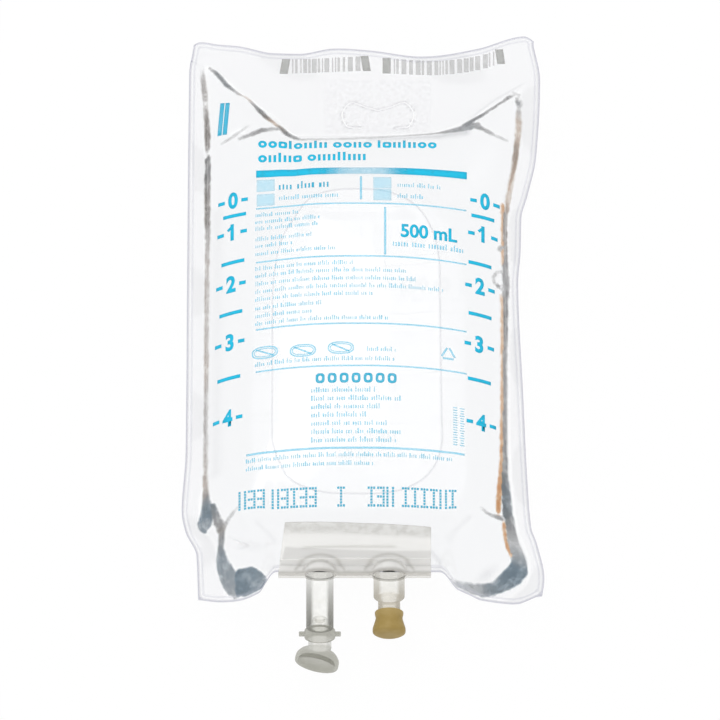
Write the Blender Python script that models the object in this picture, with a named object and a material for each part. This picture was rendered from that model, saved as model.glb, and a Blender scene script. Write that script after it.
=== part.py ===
"""A clear 500 mL soft bag of saline for infusion, lying on its back with its ports towards -Y.

Two film sheets are welded round their edges into a flat envelope, which the saline blows up into
a pillow. The weld is wide at the head, where the hanger is die-cut, and a moulded boot grips the
foot of the pillow and carries the two ports. All lengths are in metres. The origin is on the
table, under the middle of the film, and the front of the bag faces +Z.
"""

import math

import bmesh
import bpy
import numpy as np

# The film envelope
FILM_WIDTH = 0.128
FILM_LENGTH = 0.2145
FOOT_Y = -0.1063
FILM_THICKNESS = 0.0003
WELD_GAP = 0.0003
FOOT_SEAM = 0.0020

# The pillow that the saline makes of it
SEAM_HEIGHT = 0.0150
FRONT_RISE = 0.0260
SIDE_REACH = 0.052
FOOT_REACH = 0.045
HEAD_REACH = 0.060
ROUNDNESS = 0.60
BACK_FLATNESS = 1.30
SALINE_CLEARANCE = 0.0004
BUBBLE_DEPTH = 0.0052
LEAN_STEP = 0.008

# Slack in the welds
HEAD_WAVE = 0.0011
HEAD_WAVE_LENGTH = 0.058
HEAD_WAVE_PHASE = 0.6
SEAM_WAVE = 0.0009
SEAM_WAVE_LENGTH = 0.047
SEAM_WAVE_RUN_IN = 0.006
FOLD_WIDTH = 0.0028

# The hanger, a flap that is cut through both sheets and still stands in its hole
HANGER_X = 0.0060
HANGER_DROP = 0.0269
HANGER_LAND_DEPTH = 0.020
SLIT_WIDTH = 0.0005

# The moulded boot at the foot
BOOT_X = -0.0013
BOOT_WIDTH = 0.0530
BOOT_FLARE = 0.0024
BOOT_DEPTH = 0.0149
BOOT_WALL = 0.0008
BOOT_EDGE_Y = -0.0967
BOOT_LIP = 0.0028
BOOT_FILLET = 0.0008
BOOT_RUN_UP = 0.0080
BOOT_SIDE_ROOM = 0.0030
SOCKET_LENGTH = 0.0080
SOCKET_WALL = 0.0009
SOCKET_FILLET = 0.0006
FIT_GAP = 0.0003

# The set port, a tube with a diaphragm that the spike of the giving set pierces
SET_PORT_X = -0.0151
SET_TUBE_DIAMETER = 0.0099
SET_TUBE_BORE = 0.0062
SET_TUBE_LENGTH = 0.0203
SET_TUBE_RIM = 0.0004
DIAPHRAGM_DEPTH = 0.0102
DIAPHRAGM_THICKNESS = 0.0006
PORT_INSERTION = 0.0040
PORT_SIDE_ROOM = 0.0045
PORT_END_ROOM = 0.0040

# Its pull-off protector
SPIGOT_LENGTH = 0.0042
SPIGOT_WALL = 0.0009
SPIGOT_HOLLOW = 0.0016
SPIGOT_LEAD_IN = 0.0010
COLLAR_DIAMETER = 0.0112
COLLAR_LENGTH = 0.0034
COLLAR_ROUNDING = 0.0005
WING_SPAN = 0.0152
WING_THICKNESS = 0.0009
WING_WIDTH = 0.0036
NECK_DIAMETER = 0.0084
NECK_LENGTH = 0.0042
GRIP_DIAMETER = 0.0160
GRIP_LENGTH = 0.0062
GRIP_WALL = 0.0013
GRIP_HOLLOW = 0.0022
GRIP_ROUNDING = 0.0006
GRIP_OVERLAP = 0.0012
GRIP_TILT = math.radians(13)

# The additive port with its reseal stopper
ADDITIVE_PORT_X = 0.0100
ADDITIVE_TUBE_DIAMETER = 0.0113
ADDITIVE_TUBE_LENGTH = 0.0083
ADDITIVE_NECK_DIAMETER = 0.0080
ADDITIVE_NECK_LENGTH = 0.0052
ADDITIVE_SHOULDER = 0.0012
ADDITIVE_BORE = 0.0044
STOPPER_DIAMETER = 0.0120
STOPPER_WAIST = 0.0099
STOPPER_SHOULDER = 0.0109
STOPPER_LENGTH = 0.0092
STOPPER_ROUNDING = 0.0004
STOPPER_SPIGOT_DIAMETER = 0.0066
STOPPER_SPIGOT_LENGTH = 0.0046
STOPPER_SPIGOT_CHAMFER = 0.0003
STOPPER_TARGET_DIAMETER = 0.0064

# How finely the forms are made
SLOPE_STEP = 0.0005
EVEN_SHARE = 0.45
FILM_COLUMNS = 24
FILM_ROWS = 30
HEAD_ROWS = 5
BOOT_COLUMNS = 30
BOOT_ROWS = 8
TURN_STEPS = 24

HEAD_Y = FOOT_Y + FILM_LENGTH
HANGER_Y = HEAD_Y - HANGER_DROP
BOOT_TOP_Y = BOOT_EDGE_Y + BOOT_DEPTH
SET_MOUTH_Y = BOOT_EDGE_Y - SET_TUBE_LENGTH
PORT_INNER_Y = BOOT_EDGE_Y + PORT_INSERTION

# The outline of the filled envelope. A side is (share of the film's length from the foot, how far
# the filling pulls it in); the foot and head are (share of the width from the left, shift along Y).
LEFT_PULL = (
    (0, 0.0048), (0.08, 0.0041), (0.122, 0.0001), (0.16, -0.0013), (0.27, 0.0001), (0.63, 0.0005),
    (0.95, 0.0010), (1, 0.0026),
)
RIGHT_PULL = (
    (0, -0.0012), (0.04, -0.0023), (0.10, 0.0003), (0.13, 0.0024), (0.22, 0.0038), (0.37, 0.0052),
    (0.57, 0.0069), (0.63, 0.0060), (0.69, 0.0057), (0.73, 0.0034), (0.80, 0.0002), (0.94, -0.0013),
    (1, 0.0010),
)
FOOT_SHIFT = (
    (0, 0.0014), (0.05, 0.0004), (0.12, -0.0005), (0.155, 0), (0.25, 0.0045), (0.72, 0.0064),
    (0.80, 0.0025), (0.84, 0.0001), (0.93, -0.0013), (1, 0.0020),
)
HEAD_SHIFT = (
    (0, -0.0010), (0.04, 0.0018), (0.09, 0.0007), (0.15, 0), (0.25, -0.0022), (0.32, -0.0022),
    (0.42, -0.0003), (0.52, -0.0015), (0.66, -0.0037), (0.83, -0.0003), (0.965, 0.0040), (1, 0.0012),
)
# The edge of the wet pillow inside it, in the same way; the head weld is given by its depth.
LEFT_SEAM = (
    (0, 0.0165), (0.045, 0.0135), (0.10, 0.0112), (0.135, 0.0060), (0.17, 0.0055), (0.22, 0.0074),
    (1, 0.0076),
)
RIGHT_SEAM = (
    (0, 0.0120), (0.035, 0.0042), (0.065, 0.0036), (0.13, 0.0078), (0.22, 0.0100), (0.30, 0.0108),
    (0.63, 0.0114), (0.72, 0.0110), (0.81, 0.0074), (1, 0.0060),
)
HEAD_WELD = (
    (0, 0.0050), (0.066, 0.0087), (0.156, 0.0185), (0.26, 0.0291), (0.315, 0.0350), (0.55, 0.0350),
    (0.70, 0.0340), (0.76, 0.0318), (0.838, 0.0265), (0.935, 0.0190), (1, 0.0150),
)
# Folds that the filling presses into the front sheet: both ends and the depth.
FOLDS = (
    ((-0.0300, 0.0770), (-0.0470, 0.0670), 0.0020),
    ((0.0415, 0.0760), (0.0535, 0.0660), 0.0016),
    ((-0.0430, -0.0770), (-0.0310, -0.0920), 0.0016),
    ((0.0415, -0.0770), (0.0295, -0.0910), 0.0016),
    ((0.0430, -0.0710), (0.0530, -0.0760), 0.0014),
)
# The right half of the hanger's slit, from its dip round the lobe to the hook at its end.
SLIT = (
    (0, 0.0023), (0.0045, 0.0036), (0.0095, 0.0054), (0.0131, 0.0006), (0.0108, -0.0042),
    (0.0065, -0.0046),
)
SLIT_STEPS = 5


def clear_scene():
    for obj in list(bpy.data.objects):
        bpy.data.objects.remove(obj)


def material(name, colour, roughness, transmission=0.0, metallic=0.0):
    made = bpy.data.materials.new(name)
    made.use_nodes = True
    shader = made.node_tree.nodes["Principled BSDF"]
    shader.inputs["Base Color"].default_value = (*colour, 1)
    shader.inputs["Roughness"].default_value = roughness
    shader.inputs["Metallic"].default_value = metallic
    shader.inputs["Transmission Weight"].default_value = transmission
    return made


def new_object(name, form, finish, helper=False):
    mesh = bpy.data.meshes.new(name)
    bmesh.ops.recalc_face_normals(form, faces=form.faces)
    form.to_mesh(mesh)
    form.free()
    obj = bpy.data.objects.new(name, mesh)
    bpy.context.scene.collection.objects.link(obj)
    if helper:
        obj.hide_render = True
        obj.display_type = "WIRE"
    else:
        mesh.materials.append(finish)
        mesh.shade_smooth()
        mesh.set_sharp_from_angle(angle=math.radians(35))
    return obj


def turn_to(obj, side):
    """Turns an open skin's faces so that its first one looks up, or down for a side of -1."""
    if obj.data.polygons[0].normal.z * side < 0:
        obj.data.flip_normals()


def combine(obj, other, operation):
    modifier = obj.modifiers.new(other.name, "BOOLEAN")
    modifier.object = other
    modifier.operation = operation


def through(points, at):
    """The smooth curve through a few points, with no overshoot, read at any number of places."""
    places, values = np.array(points, float).T
    rates = np.diff(values) / np.diff(places)
    before, after = rates[:-1], rates[1:]
    level = before * after <= 0
    middle = 2 * before * after / np.where(level, 1, before + after)
    slopes = np.concatenate([rates[:1], np.where(level, 0, middle), rates[-1:]])
    at = np.clip(at, places[0], places[-1])
    k = np.clip(np.searchsorted(places, at, side="right") - 1, 0, len(places) - 2)
    span = places[k + 1] - places[k]
    u = (at - places[k]) / span
    start = (1 + 2 * u) * (1 - u) ** 2 * values[k] + u * (1 - u) ** 2 * span * slopes[k]
    end = u * u * (3 - 2 * u) * values[k + 1] + u * u * (u - 1) * span * slopes[k + 1]
    return start + end


def ease(share):
    share = np.clip(share, 0, 1)
    return share * share * (3 - 2 * share)


def smooth_max(a, b, softness):
    return (a + b + np.sqrt((a - b) ** 2 + softness**2)) / 2


def across(x):
    return x / FILM_WIDTH + 0.5


def along(y):
    return (y - FOOT_Y) / FILM_LENGTH


def left_edge(y):
    return -FILM_WIDTH / 2 + through(LEFT_PULL, along(y))


def right_edge(y):
    return FILM_WIDTH / 2 - through(RIGHT_PULL, along(y))


def left_wet(y):
    return -FILM_WIDTH / 2 + through(LEFT_SEAM, along(y))


def right_wet(y):
    return FILM_WIDTH / 2 - through(RIGHT_SEAM, along(y))


def foot_edge(x):
    """The film's foot, which stops short of the boot's end wall."""
    free = FOOT_Y + through(FOOT_SHIFT, across(x))
    beside = np.abs(x - BOOT_X) - BOOT_WIDTH / 2 - BOOT_FLARE - BOOT_SIDE_ROOM
    grip = 1 - ease(beside / BOOT_SIDE_ROOM)
    return free + grip * (BOOT_EDGE_Y + BOOT_WALL + 2 * FIT_GAP - free)


def foot_wet(x):
    return foot_edge(x) + FOOT_SEAM


def head_edge(x):
    return HEAD_Y + through(HEAD_SHIFT, across(x))


def head_wet(x):
    return HEAD_Y - through(HEAD_WELD, across(x))


def swell(distance, reach):
    """How full the pillow is, from 0 at a weld to 1 beyond the reach of that weld."""
    inward = 1 - np.clip(distance / reach, 0, 1)
    return (1 - inward**2) ** ROUNDNESS


def fullness(x, y):
    lean = (head_wet(x + LEAN_STEP) - head_wet(x - LEAN_STEP)) / (2 * LEAN_STEP)
    return (
        swell(x - left_wet(y), SIDE_REACH)
        * swell(right_wet(y) - x, SIDE_REACH)
        * swell(y - foot_wet(x), FOOT_REACH)
        * swell((head_wet(x) - y) / np.hypot(1, lean), HEAD_REACH)
    )


def fold_depth(x, y):
    total = np.zeros_like(x)
    for (x0, y0), (x1, y1), depth in FOLDS:
        length = math.hypot(x1 - x0, y1 - y0)
        run = ((x - x0) * (x1 - x0) + (y - y0) * (y1 - y0)) / length**2
        off = ((x - x0) * (y1 - y0) - (y - y0) * (x1 - x0)) / length
        total += depth * np.sin(np.pi * np.clip(run, 0, 1)) * np.exp(-((off / FOLD_WIDTH) ** 2))
    return total


def front_rise(x, y):
    full = fullness(x, y)
    return FRONT_RISE * full - fold_depth(x, y) * full ** 0.5


def back_rise(x, y):
    """The back sheet lies flat on the table, and over the boot's back wall near the foot."""
    over_boot = 1 - ease((y - BOOT_TOP_Y - BOOT_RUN_UP) / BOOT_RUN_UP)
    deepest = SEAM_HEIGHT - WELD_GAP / 2 - FILM_THICKNESS - over_boot * (BOOT_WALL + 2 * FIT_GAP)
    return np.minimum(deepest, SEAM_HEIGHT * BACK_FLATNESS * fullness(x, y))


def weld_height(x, y):
    """The middle of the two sheets, level under the pillow, the hanger and the boot."""
    land_top = HANGER_Y + HANGER_LAND_DEPTH / 2
    head = ease((y - land_top) / (HEAD_Y - land_top))
    outside = np.maximum(left_wet(y) - x, x - right_wet(y))
    side = ease(outside / SEAM_WAVE_RUN_IN) * (y < head_wet(x))
    waves = HEAD_WAVE * head * np.sin(2 * np.pi * x / HEAD_WAVE_LENGTH + HEAD_WAVE_PHASE)
    waves = waves + SEAM_WAVE * side * np.sin(2 * np.pi * y / SEAM_WAVE_LENGTH)
    return SEAM_HEIGHT + waves


def film_place(column, row):
    """Where a point of the envelope lies. Columns run from -1 at the left edge through 0 and 1 at
    the edges of the pillow to 2 at the right edge, and rows in the same way from foot to head."""
    x = FILM_WIDTH * (column / 3 - 1 / 6)
    y = FOOT_Y + FILM_LENGTH * row / 2
    for _ in range(12):
        x_stops = (left_edge(y), left_wet(y), right_wet(y), right_edge(y))
        x = between(column, x_stops)
        y = between(row, (foot_edge(x), foot_wet(x), head_wet(x), head_edge(x)))
    return x, y


def between(place, stops):
    low = stops[0] + (place + 1) * (stops[1] - stops[0])
    mid = stops[1] + place * (stops[2] - stops[1])
    high = stops[2] + (place - 1) * (stops[3] - stops[2])
    return np.where(place < 0, low, np.where(place > 1, high, mid))


def crowded_ends(count):
    """Shares from 0 to 1 that lie closer together towards both ends."""
    even = np.linspace(0, 1, count + 1)
    return EVEN_SHARE * even + (1 - EVEN_SHARE) * (1 - np.cos(np.pi * even)) / 2


def sheet(columns, rows):
    """A grid of faces in order of columns and rows, and its vertices as such an array."""
    form = bmesh.new()
    bmesh.ops.create_grid(form, x_segments=columns - 1, y_segments=rows - 1, size=1)
    order = sorted(form.verts, key=lambda v: (round(v.co.y, 6), round(v.co.x, 6)))
    return form, np.array(order, object).reshape(rows, columns)


def place_all(verts, x, y, z):
    for vert, *spot in zip(verts.flat, x.flat, y.flat, z.flat):
        vert.co = spot


def hanger_cutter():
    """A thin wall that stands along the slit, so that it cuts both sheets."""
    half = np.array(SLIT)
    steps = np.linspace(0, len(half) - 1, SLIT_STEPS * (len(half) - 1) + 1)
    numbers = np.arange(len(half))
    right = np.column_stack([through(np.column_stack([numbers, half[:, k]]), steps) for k in (0, 1)])
    left = right[:0:-1] * (-1, 1)
    form = bmesh.new()
    reach = 2 * (HEAD_WAVE + WELD_GAP + FILM_THICKNESS)
    low = SEAM_HEIGHT - reach
    verts = [form.verts.new((HANGER_X + x, HANGER_Y + y, low)) for x, y in np.vstack([left, right])]
    edges = [form.edges.new(pair) for pair in zip(verts, verts[1:])]
    raised = bmesh.ops.extrude_edge_only(form, edges=edges)["geom"]
    tops = [item for item in raised if isinstance(item, bmesh.types.BMVert)]
    bmesh.ops.translate(form, verts=tops, vec=(0, 0, 2 * reach))
    cutter = new_object("hanger_slit_cutter", form, None, helper=True)
    wall = cutter.modifiers.new("width", "SOLIDIFY")
    wall.thickness = SLIT_WIDTH
    wall.offset = 0
    return cutter


def box_cutter(name, low, high):
    form = bmesh.new()
    bmesh.ops.create_cube(form, size=1)
    for vert in form.verts:
        vert.co = [a + (b - a) * (c + 0.5) for a, b, c in zip(low, high, vert.co)]
    return new_object(name, form, None, helper=True)


def port_room(name, margin):
    """The room that the port tubes take up between the two sheets."""
    reach = PORT_SIDE_ROOM + margin
    left = SET_PORT_X - SET_TUBE_DIAMETER / 2 - reach
    right = ADDITIVE_PORT_X + ADDITIVE_TUBE_DIAMETER / 2 + reach
    inner = PORT_INNER_Y + PORT_END_ROOM + margin
    beyond = 2 * (SEAM_HEIGHT + FRONT_RISE)
    return box_cutter(name, (left, FOOT_Y - BOOT_DEPTH, -beyond), (right, inner, beyond))


def make_film(name, side, finish, cutters):
    column_places = np.concatenate([[-1], crowded_ends(FILM_COLUMNS), [2]])
    head_places = 1 + np.linspace(0, 1, HEAD_ROWS + 1)[1:]
    row_places = np.concatenate([[-1], crowded_ends(FILM_ROWS), head_places])
    form, verts = sheet(len(column_places), len(row_places))
    x, y = film_place(*np.meshgrid(column_places, row_places))
    rise = front_rise(x, y) if side > 0 else back_rise(x, y)
    z = weld_height(x, y) + side * (WELD_GAP / 2 + rise)
    place_all(verts, x, y, z)
    obj = new_object(name, form, finish)
    turn_to(obj, side)
    skin = obj.modifiers.new("thickness", "SOLIDIFY")
    skin.thickness = FILM_THICKNESS
    skin.offset = 1
    for cutter in cutters:
        combine(obj, cutter, "DIFFERENCE")
    return obj


def make_saline(finish, cutter):
    """The saline, flat on top where the air bubble lies between it and the front sheet."""
    inner_columns = crowded_ends(FILM_COLUMNS)[1:-1]
    inner_rows = crowded_ends(FILM_ROWS)[1:-1]
    x, y = film_place(*np.meshgrid(inner_columns, inner_rows))
    form, top = sheet(*x.shape[::-1])
    level = SEAM_HEIGHT + WELD_GAP / 2 + FRONT_RISE - BUBBLE_DEPTH
    raised = bmesh.ops.extrude_face_region(form, geom=form.faces[:], use_keep_orig=True)["geom"]
    bottom_of = {}
    for vert in raised:
        if isinstance(vert, bmesh.types.BMVert):
            bottom_of[tuple(round(c, 6) for c in vert.co)] = vert
    bottom = np.array([bottom_of[tuple(round(c, 6) for c in v.co)] for v in top.flat], object)
    for verts, rise, side in ((top, front_rise, 1), (bottom.reshape(top.shape), back_rise, -1)):
        fx, fy, fz = inside_of(x, y, rise)
        height = SEAM_HEIGHT + side * (WELD_GAP / 2 + fz)
        place_all(verts, fx, fy, np.minimum(height, level))
    obj = new_object("saline", form, finish)
    combine(obj, cutter, "DIFFERENCE")
    return obj


def slope(x, y, rise):
    """How a sheet leans along X and Y, and how much longer it is there than its plan."""
    lean_x = (rise(x + SLOPE_STEP, y) - rise(x - SLOPE_STEP, y)) / (2 * SLOPE_STEP)
    lean_y = (rise(x, y + SLOPE_STEP) - rise(x, y - SLOPE_STEP)) / (2 * SLOPE_STEP)
    return lean_x, lean_y, np.sqrt(1 + lean_x**2 + lean_y**2)


def inside_of(x, y, rise):
    """Points just inside a sheet, and how far they stand from the weld."""
    lean_x, lean_y, stretch = slope(x, y, rise)
    inward = SALINE_CLEARANCE / stretch
    return x + lean_x * inward, y + lean_y * inward, rise(x, y) - inward


def socket(x, y, centre, radius):
    """The raised half-round shoulder over a port, which runs out up the boot."""
    run = np.clip((y - PORT_INNER_Y) / (SOCKET_LENGTH - PORT_INSERTION), 0, 1)
    reach = (radius + SOCKET_WALL + FIT_GAP) ** 2 * (1 - run**2) - (x - centre) ** 2
    return np.sqrt(np.maximum(reach, 0))


def boot_rise(x, y, rise):
    shell = (FILM_THICKNESS + FIT_GAP + BOOT_WALL) * slope(x, y, rise)[2]
    over_film = rise(x, y) + shell + WELD_GAP / 2
    body = smooth_max(over_film, BOOT_LIP, BOOT_FILLET)
    body = smooth_max(body, socket(x, y, SET_PORT_X, SET_TUBE_DIAMETER / 2), SOCKET_FILLET)
    return smooth_max(body, socket(x, y, ADDITIVE_PORT_X, ADDITIVE_TUBE_DIAMETER / 2), SOCKET_FILLET)


def make_boot(finish):
    """One skin that runs down the front of the foot, across its edge and up the back."""
    shares = np.linspace(0, 1, BOOT_COLUMNS + 1)
    downs = 1 - np.linspace(0, 1, BOOT_ROWS + 1) ** 0.8
    share, drop = np.meshgrid(shares, downs)
    x = BOOT_X + BOOT_WIDTH * (share - 0.5) - BOOT_FLARE * (1 - share) * (1 - drop)
    y = BOOT_EDGE_Y + BOOT_DEPTH * drop
    front = SEAM_HEIGHT + boot_rise(x, y, front_rise)
    back = SEAM_HEIGHT - boot_rise(x, y, back_rise)
    x = np.vstack([x, x[-1:], x[::-1]])
    y = np.vstack([y, y[-1:], y[::-1]])
    z = np.vstack([front, (front[-1:] + back[-1:]) / 2, back[::-1]])
    form, verts = sheet(x.shape[1], x.shape[0])
    place_all(verts, x, y, z)
    obj = new_object("port_boot", form, finish)
    turn_to(obj, 1)
    wall = obj.modifiers.new("wall", "SOLIDIFY")
    wall.thickness = BOOT_WALL
    wall.offset = -1
    for name, centre, diameter in (
        ("set_port_hole", SET_PORT_X, SET_TUBE_DIAMETER),
        ("additive_port_hole", ADDITIVE_PORT_X, ADDITIVE_TUBE_DIAMETER),
    ):
        radius = diameter / 2 + FIT_GAP
        reach = PORT_INSERTION
        form = turned(((0, -reach), (radius, -reach), (radius, reach), (0, reach)))
        cutter = new_object(name, form, None, helper=True)
        cutter.location = (centre, BOOT_EDGE_Y, SEAM_HEIGHT)
        combine(obj, cutter, "DIFFERENCE")
    return obj


def turned(outline):
    """A form turned about Y from (radius, place along Y) points; a closed outline off the axis
    gives a ring."""
    form = bmesh.new()
    verts = [form.verts.new((radius, y, 0)) for radius, y in outline]
    pairs = list(zip(verts, verts[1:]))
    if min(radius for radius, _ in outline) > 0:
        pairs.append((verts[-1], verts[0]))
    edges = [form.edges.new(pair) for pair in pairs]
    bmesh.ops.spin(
        form, geom=verts + edges, cent=(0, 0, 0), axis=(0, 1, 0), dvec=(0, 0, 0),
        angle=2 * math.pi, steps=TURN_STEPS, use_merge=True,
    )
    bmesh.ops.remove_doubles(form, verts=form.verts, dist=1e-6)
    bmesh.ops.recalc_face_normals(form, faces=form.faces)
    return form


def make_set_port(finish):
    outer, bore = SET_TUBE_DIAMETER / 2, SET_TUBE_BORE / 2
    mouth = -SET_TUBE_LENGTH
    skin = mouth + DIAPHRAGM_DEPTH
    rim = SET_TUBE_RIM
    outline = (
        (0, skin), (bore, skin), (bore, mouth + rim), (bore + rim, mouth), (outer - rim, mouth),
        (outer, mouth + rim), (outer, PORT_INSERTION), (bore, PORT_INSERTION),
        (bore, skin + DIAPHRAGM_THICKNESS), (0, skin + DIAPHRAGM_THICKNESS),
    )
    obj = new_object("set_port_tube", turned(outline), finish)
    obj.location = (SET_PORT_X, BOOT_EDGE_Y, SEAM_HEIGHT)
    return obj


def make_protector(finish):
    """A hollow spigot, a collar with two wings, a neck and a bell that is moulded askew. It stands
    with its origin at the mouth of the set port, on the axis of the pull."""
    spigot = SET_TUBE_BORE / 2 - FIT_GAP
    inside = spigot - SPIGOT_WALL
    collar, neck = COLLAR_DIAMETER / 2, NECK_DIAMETER / 2
    seat = -FIT_GAP
    collar_end = seat - COLLAR_LENGTH
    neck_end = collar_end - NECK_LENGTH
    blend = COLLAR_ROUNDING
    outline = (
        (0, SPIGOT_LENGTH - SPIGOT_HOLLOW), (inside, SPIGOT_LENGTH - SPIGOT_HOLLOW),
        (inside, SPIGOT_LENGTH), (spigot - SPIGOT_LEAD_IN / 3, SPIGOT_LENGTH),
        (spigot, SPIGOT_LENGTH - SPIGOT_LEAD_IN), (spigot, seat), (collar - blend, seat),
        (collar, seat - blend), (collar, collar_end + blend), (collar - blend, collar_end),
        (neck, collar_end), (neck, neck_end), (0, neck_end),
    )
    obj = new_object("set_port_protector", turned(outline), finish)
    obj.location = (SET_PORT_X, SET_MOUTH_Y, SEAM_HEIGHT)
    middle = seat - COLLAR_LENGTH / 2
    half = (WING_SPAN / 2, WING_THICKNESS / 2, WING_WIDTH / 2)
    wings = box_cutter("protector_wings", [-size for size in half], half)
    wings.location = (SET_PORT_X, SET_MOUTH_Y + middle, SEAM_HEIGHT)
    combine(obj, wings, "UNION")
    grip = new_object("protector_bell", turned(bell_outline(neck)), None, helper=True)
    grip.location = (SET_PORT_X, SET_MOUTH_Y + neck_end, SEAM_HEIGHT)
    grip.rotation_euler.z = -GRIP_TILT
    combine(obj, grip, "UNION")
    return obj


def bell_outline(neck):
    """The bell that the fingers grip, hollow at its end."""
    outer = GRIP_DIAMETER / 2
    inner = outer - GRIP_WALL
    floor = GRIP_HOLLOW - GRIP_LENGTH
    root = neck - COLLAR_ROUNDING / 2
    return (
        (0, GRIP_OVERLAP), (root, GRIP_OVERLAP), (root, 0), (outer * 0.80, -GRIP_LENGTH * 0.18),
        (outer, -GRIP_LENGTH * 0.52), (outer, -GRIP_LENGTH * 0.86),
        (outer - GRIP_ROUNDING, -GRIP_LENGTH), (inner, -GRIP_LENGTH), (inner, floor - GRIP_ROUNDING),
        (inner - GRIP_ROUNDING, floor), (0, floor),
    )


def make_additive_port(finish):
    outer, bore = ADDITIVE_TUBE_DIAMETER / 2, ADDITIVE_BORE / 2
    neck, spigot = ADDITIVE_NECK_DIAMETER / 2, STOPPER_SPIGOT_DIAMETER / 2
    shoulder = -ADDITIVE_TUBE_LENGTH
    neck_end = shoulder - ADDITIVE_NECK_LENGTH
    tip = neck_end - STOPPER_SPIGOT_LENGTH
    chamfer = STOPPER_SPIGOT_CHAMFER
    outline = (
        (bore, PORT_INSERTION), (bore, tip), (spigot - chamfer, tip), (spigot, tip + chamfer),
        (spigot, neck_end), (neck, neck_end), (neck, shoulder - ADDITIVE_SHOULDER),
        (outer, shoulder), (outer, PORT_INSERTION),
    )
    obj = new_object("additive_port_tube", turned(outline), finish)
    obj.location = (ADDITIVE_PORT_X, BOOT_EDGE_Y, SEAM_HEIGHT)
    return obj


def make_stopper(finish):
    """The rubber stopper sits over the thin end of the additive port."""
    pocket = STOPPER_SPIGOT_DIAMETER / 2 + FIT_GAP
    depth = STOPPER_SPIGOT_LENGTH
    widest, waist = STOPPER_DIAMETER / 2, STOPPER_WAIST / 2
    shoulder, target = STOPPER_SHOULDER / 2, STOPPER_TARGET_DIAMETER / 2
    blend = STOPPER_ROUNDING
    outline = (
        (0, -depth), (pocket, -depth), (pocket, 0), (shoulder - blend, 0), (shoulder, -blend),
        (shoulder, -STOPPER_LENGTH * 0.16), (waist, -STOPPER_LENGTH * 0.34),
        (waist, -STOPPER_LENGTH * 0.44), (widest - blend / 2, -STOPPER_LENGTH * 0.68),
        (widest, -STOPPER_LENGTH * 0.78), (widest - blend, -STOPPER_LENGTH * 0.88),
        ((widest + target) / 2 + blend, -STOPPER_LENGTH * 0.965), (target, -STOPPER_LENGTH),
        (0, -STOPPER_LENGTH),
    )
    obj = new_object("additive_stopper", turned(outline), finish)
    seat = BOOT_EDGE_Y - ADDITIVE_TUBE_LENGTH - ADDITIVE_NECK_LENGTH - FIT_GAP
    obj.location = (ADDITIVE_PORT_X, seat, SEAM_HEIGHT)
    return obj


clear_scene()
clear_film = material("clear_film", (0.93, 0.94, 0.96), 0.08, transmission=0.9)
water = material("saline", (0.96, 0.98, 1.0), 0.02, transmission=1.0)
milky_boot = material("milky_boot", (0.86, 0.85, 0.80), 0.35, transmission=0.4)
milky_tube = material("milky_tube", (0.84, 0.83, 0.79), 0.30, transmission=0.5)
milky_cap = material("milky_cap", (0.78, 0.77, 0.71), 0.35, transmission=0.3)
tan_rubber = material("tan_rubber", (0.55, 0.40, 0.16), 0.60)

slit_cutter = hanger_cutter()
film_room = port_room("film_room_for_ports", 0)
saline_room = port_room("saline_room_for_ports", SALINE_CLEARANCE)
make_film("front_film", 1, clear_film, (slit_cutter, film_room))
make_film("back_film", -1, clear_film, (slit_cutter, film_room))
make_saline(water, saline_room)
make_boot(milky_boot)
make_set_port(milky_tube)
make_protector(milky_cap)
make_additive_port(milky_tube)
make_stopper(tan_rubber)
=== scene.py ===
import math
import random

import bmesh
import bpy
import numpy as np
from mathutils import Matrix, Vector


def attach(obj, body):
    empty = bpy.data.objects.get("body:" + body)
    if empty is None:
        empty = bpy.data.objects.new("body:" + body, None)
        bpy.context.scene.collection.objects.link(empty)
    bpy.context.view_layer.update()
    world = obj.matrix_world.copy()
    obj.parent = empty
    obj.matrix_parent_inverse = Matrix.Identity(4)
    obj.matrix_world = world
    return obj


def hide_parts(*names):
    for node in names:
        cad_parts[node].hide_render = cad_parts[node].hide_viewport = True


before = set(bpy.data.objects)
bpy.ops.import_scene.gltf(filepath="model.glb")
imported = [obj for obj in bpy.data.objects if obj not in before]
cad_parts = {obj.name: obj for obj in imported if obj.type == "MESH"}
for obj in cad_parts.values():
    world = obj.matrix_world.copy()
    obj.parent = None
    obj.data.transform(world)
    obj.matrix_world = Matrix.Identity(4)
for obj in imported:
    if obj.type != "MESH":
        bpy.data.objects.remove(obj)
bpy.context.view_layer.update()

# The studio. A white table under soft light from above. The camera looks down on the bag as it
# lies, tilted a little towards the ports, through a long lens.
SEAM_HEIGHT = 0.0150
CAMERA_DISTANCE = 8.0
CAMERA_LENS = 1099.0
CAMERA_TILT = math.radians(70)
LOOK_AT = Vector((-0.00055, -0.01336, SEAM_HEIGHT))
TABLE_SIZE = 6.0
TABLE_DROP = 0.0001
TABLE_WHITE = 0.92
TABLE_GLOW = 0.96
HORIZON_LIGHT = 0.84
SKY_LIGHT = 0.94
LAMP_SIZE = (1.1, 0.8)
LAMP_WATTS = 4.0
LAMP_PLACE = (-0.35, 0.30, 1.2)

camera = bpy.data.objects.new("camera", bpy.data.cameras.new("camera"))
camera.data.lens = CAMERA_LENS
camera.data.clip_start = 0.05
camera.location = LOOK_AT + CAMERA_DISTANCE * Vector((0, -math.cos(CAMERA_TILT), math.sin(CAMERA_TILT)))
camera.rotation_euler = (math.pi / 2 - CAMERA_TILT, 0, 0)
bpy.context.scene.collection.objects.link(camera)
bpy.context.scene.camera = camera
bpy.context.scene.view_settings.view_transform = "Standard"


def new_material(name):
    made = bpy.data.materials.new(name)
    made.use_nodes = True
    made.node_tree.nodes.clear()
    return made, made.node_tree


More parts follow.
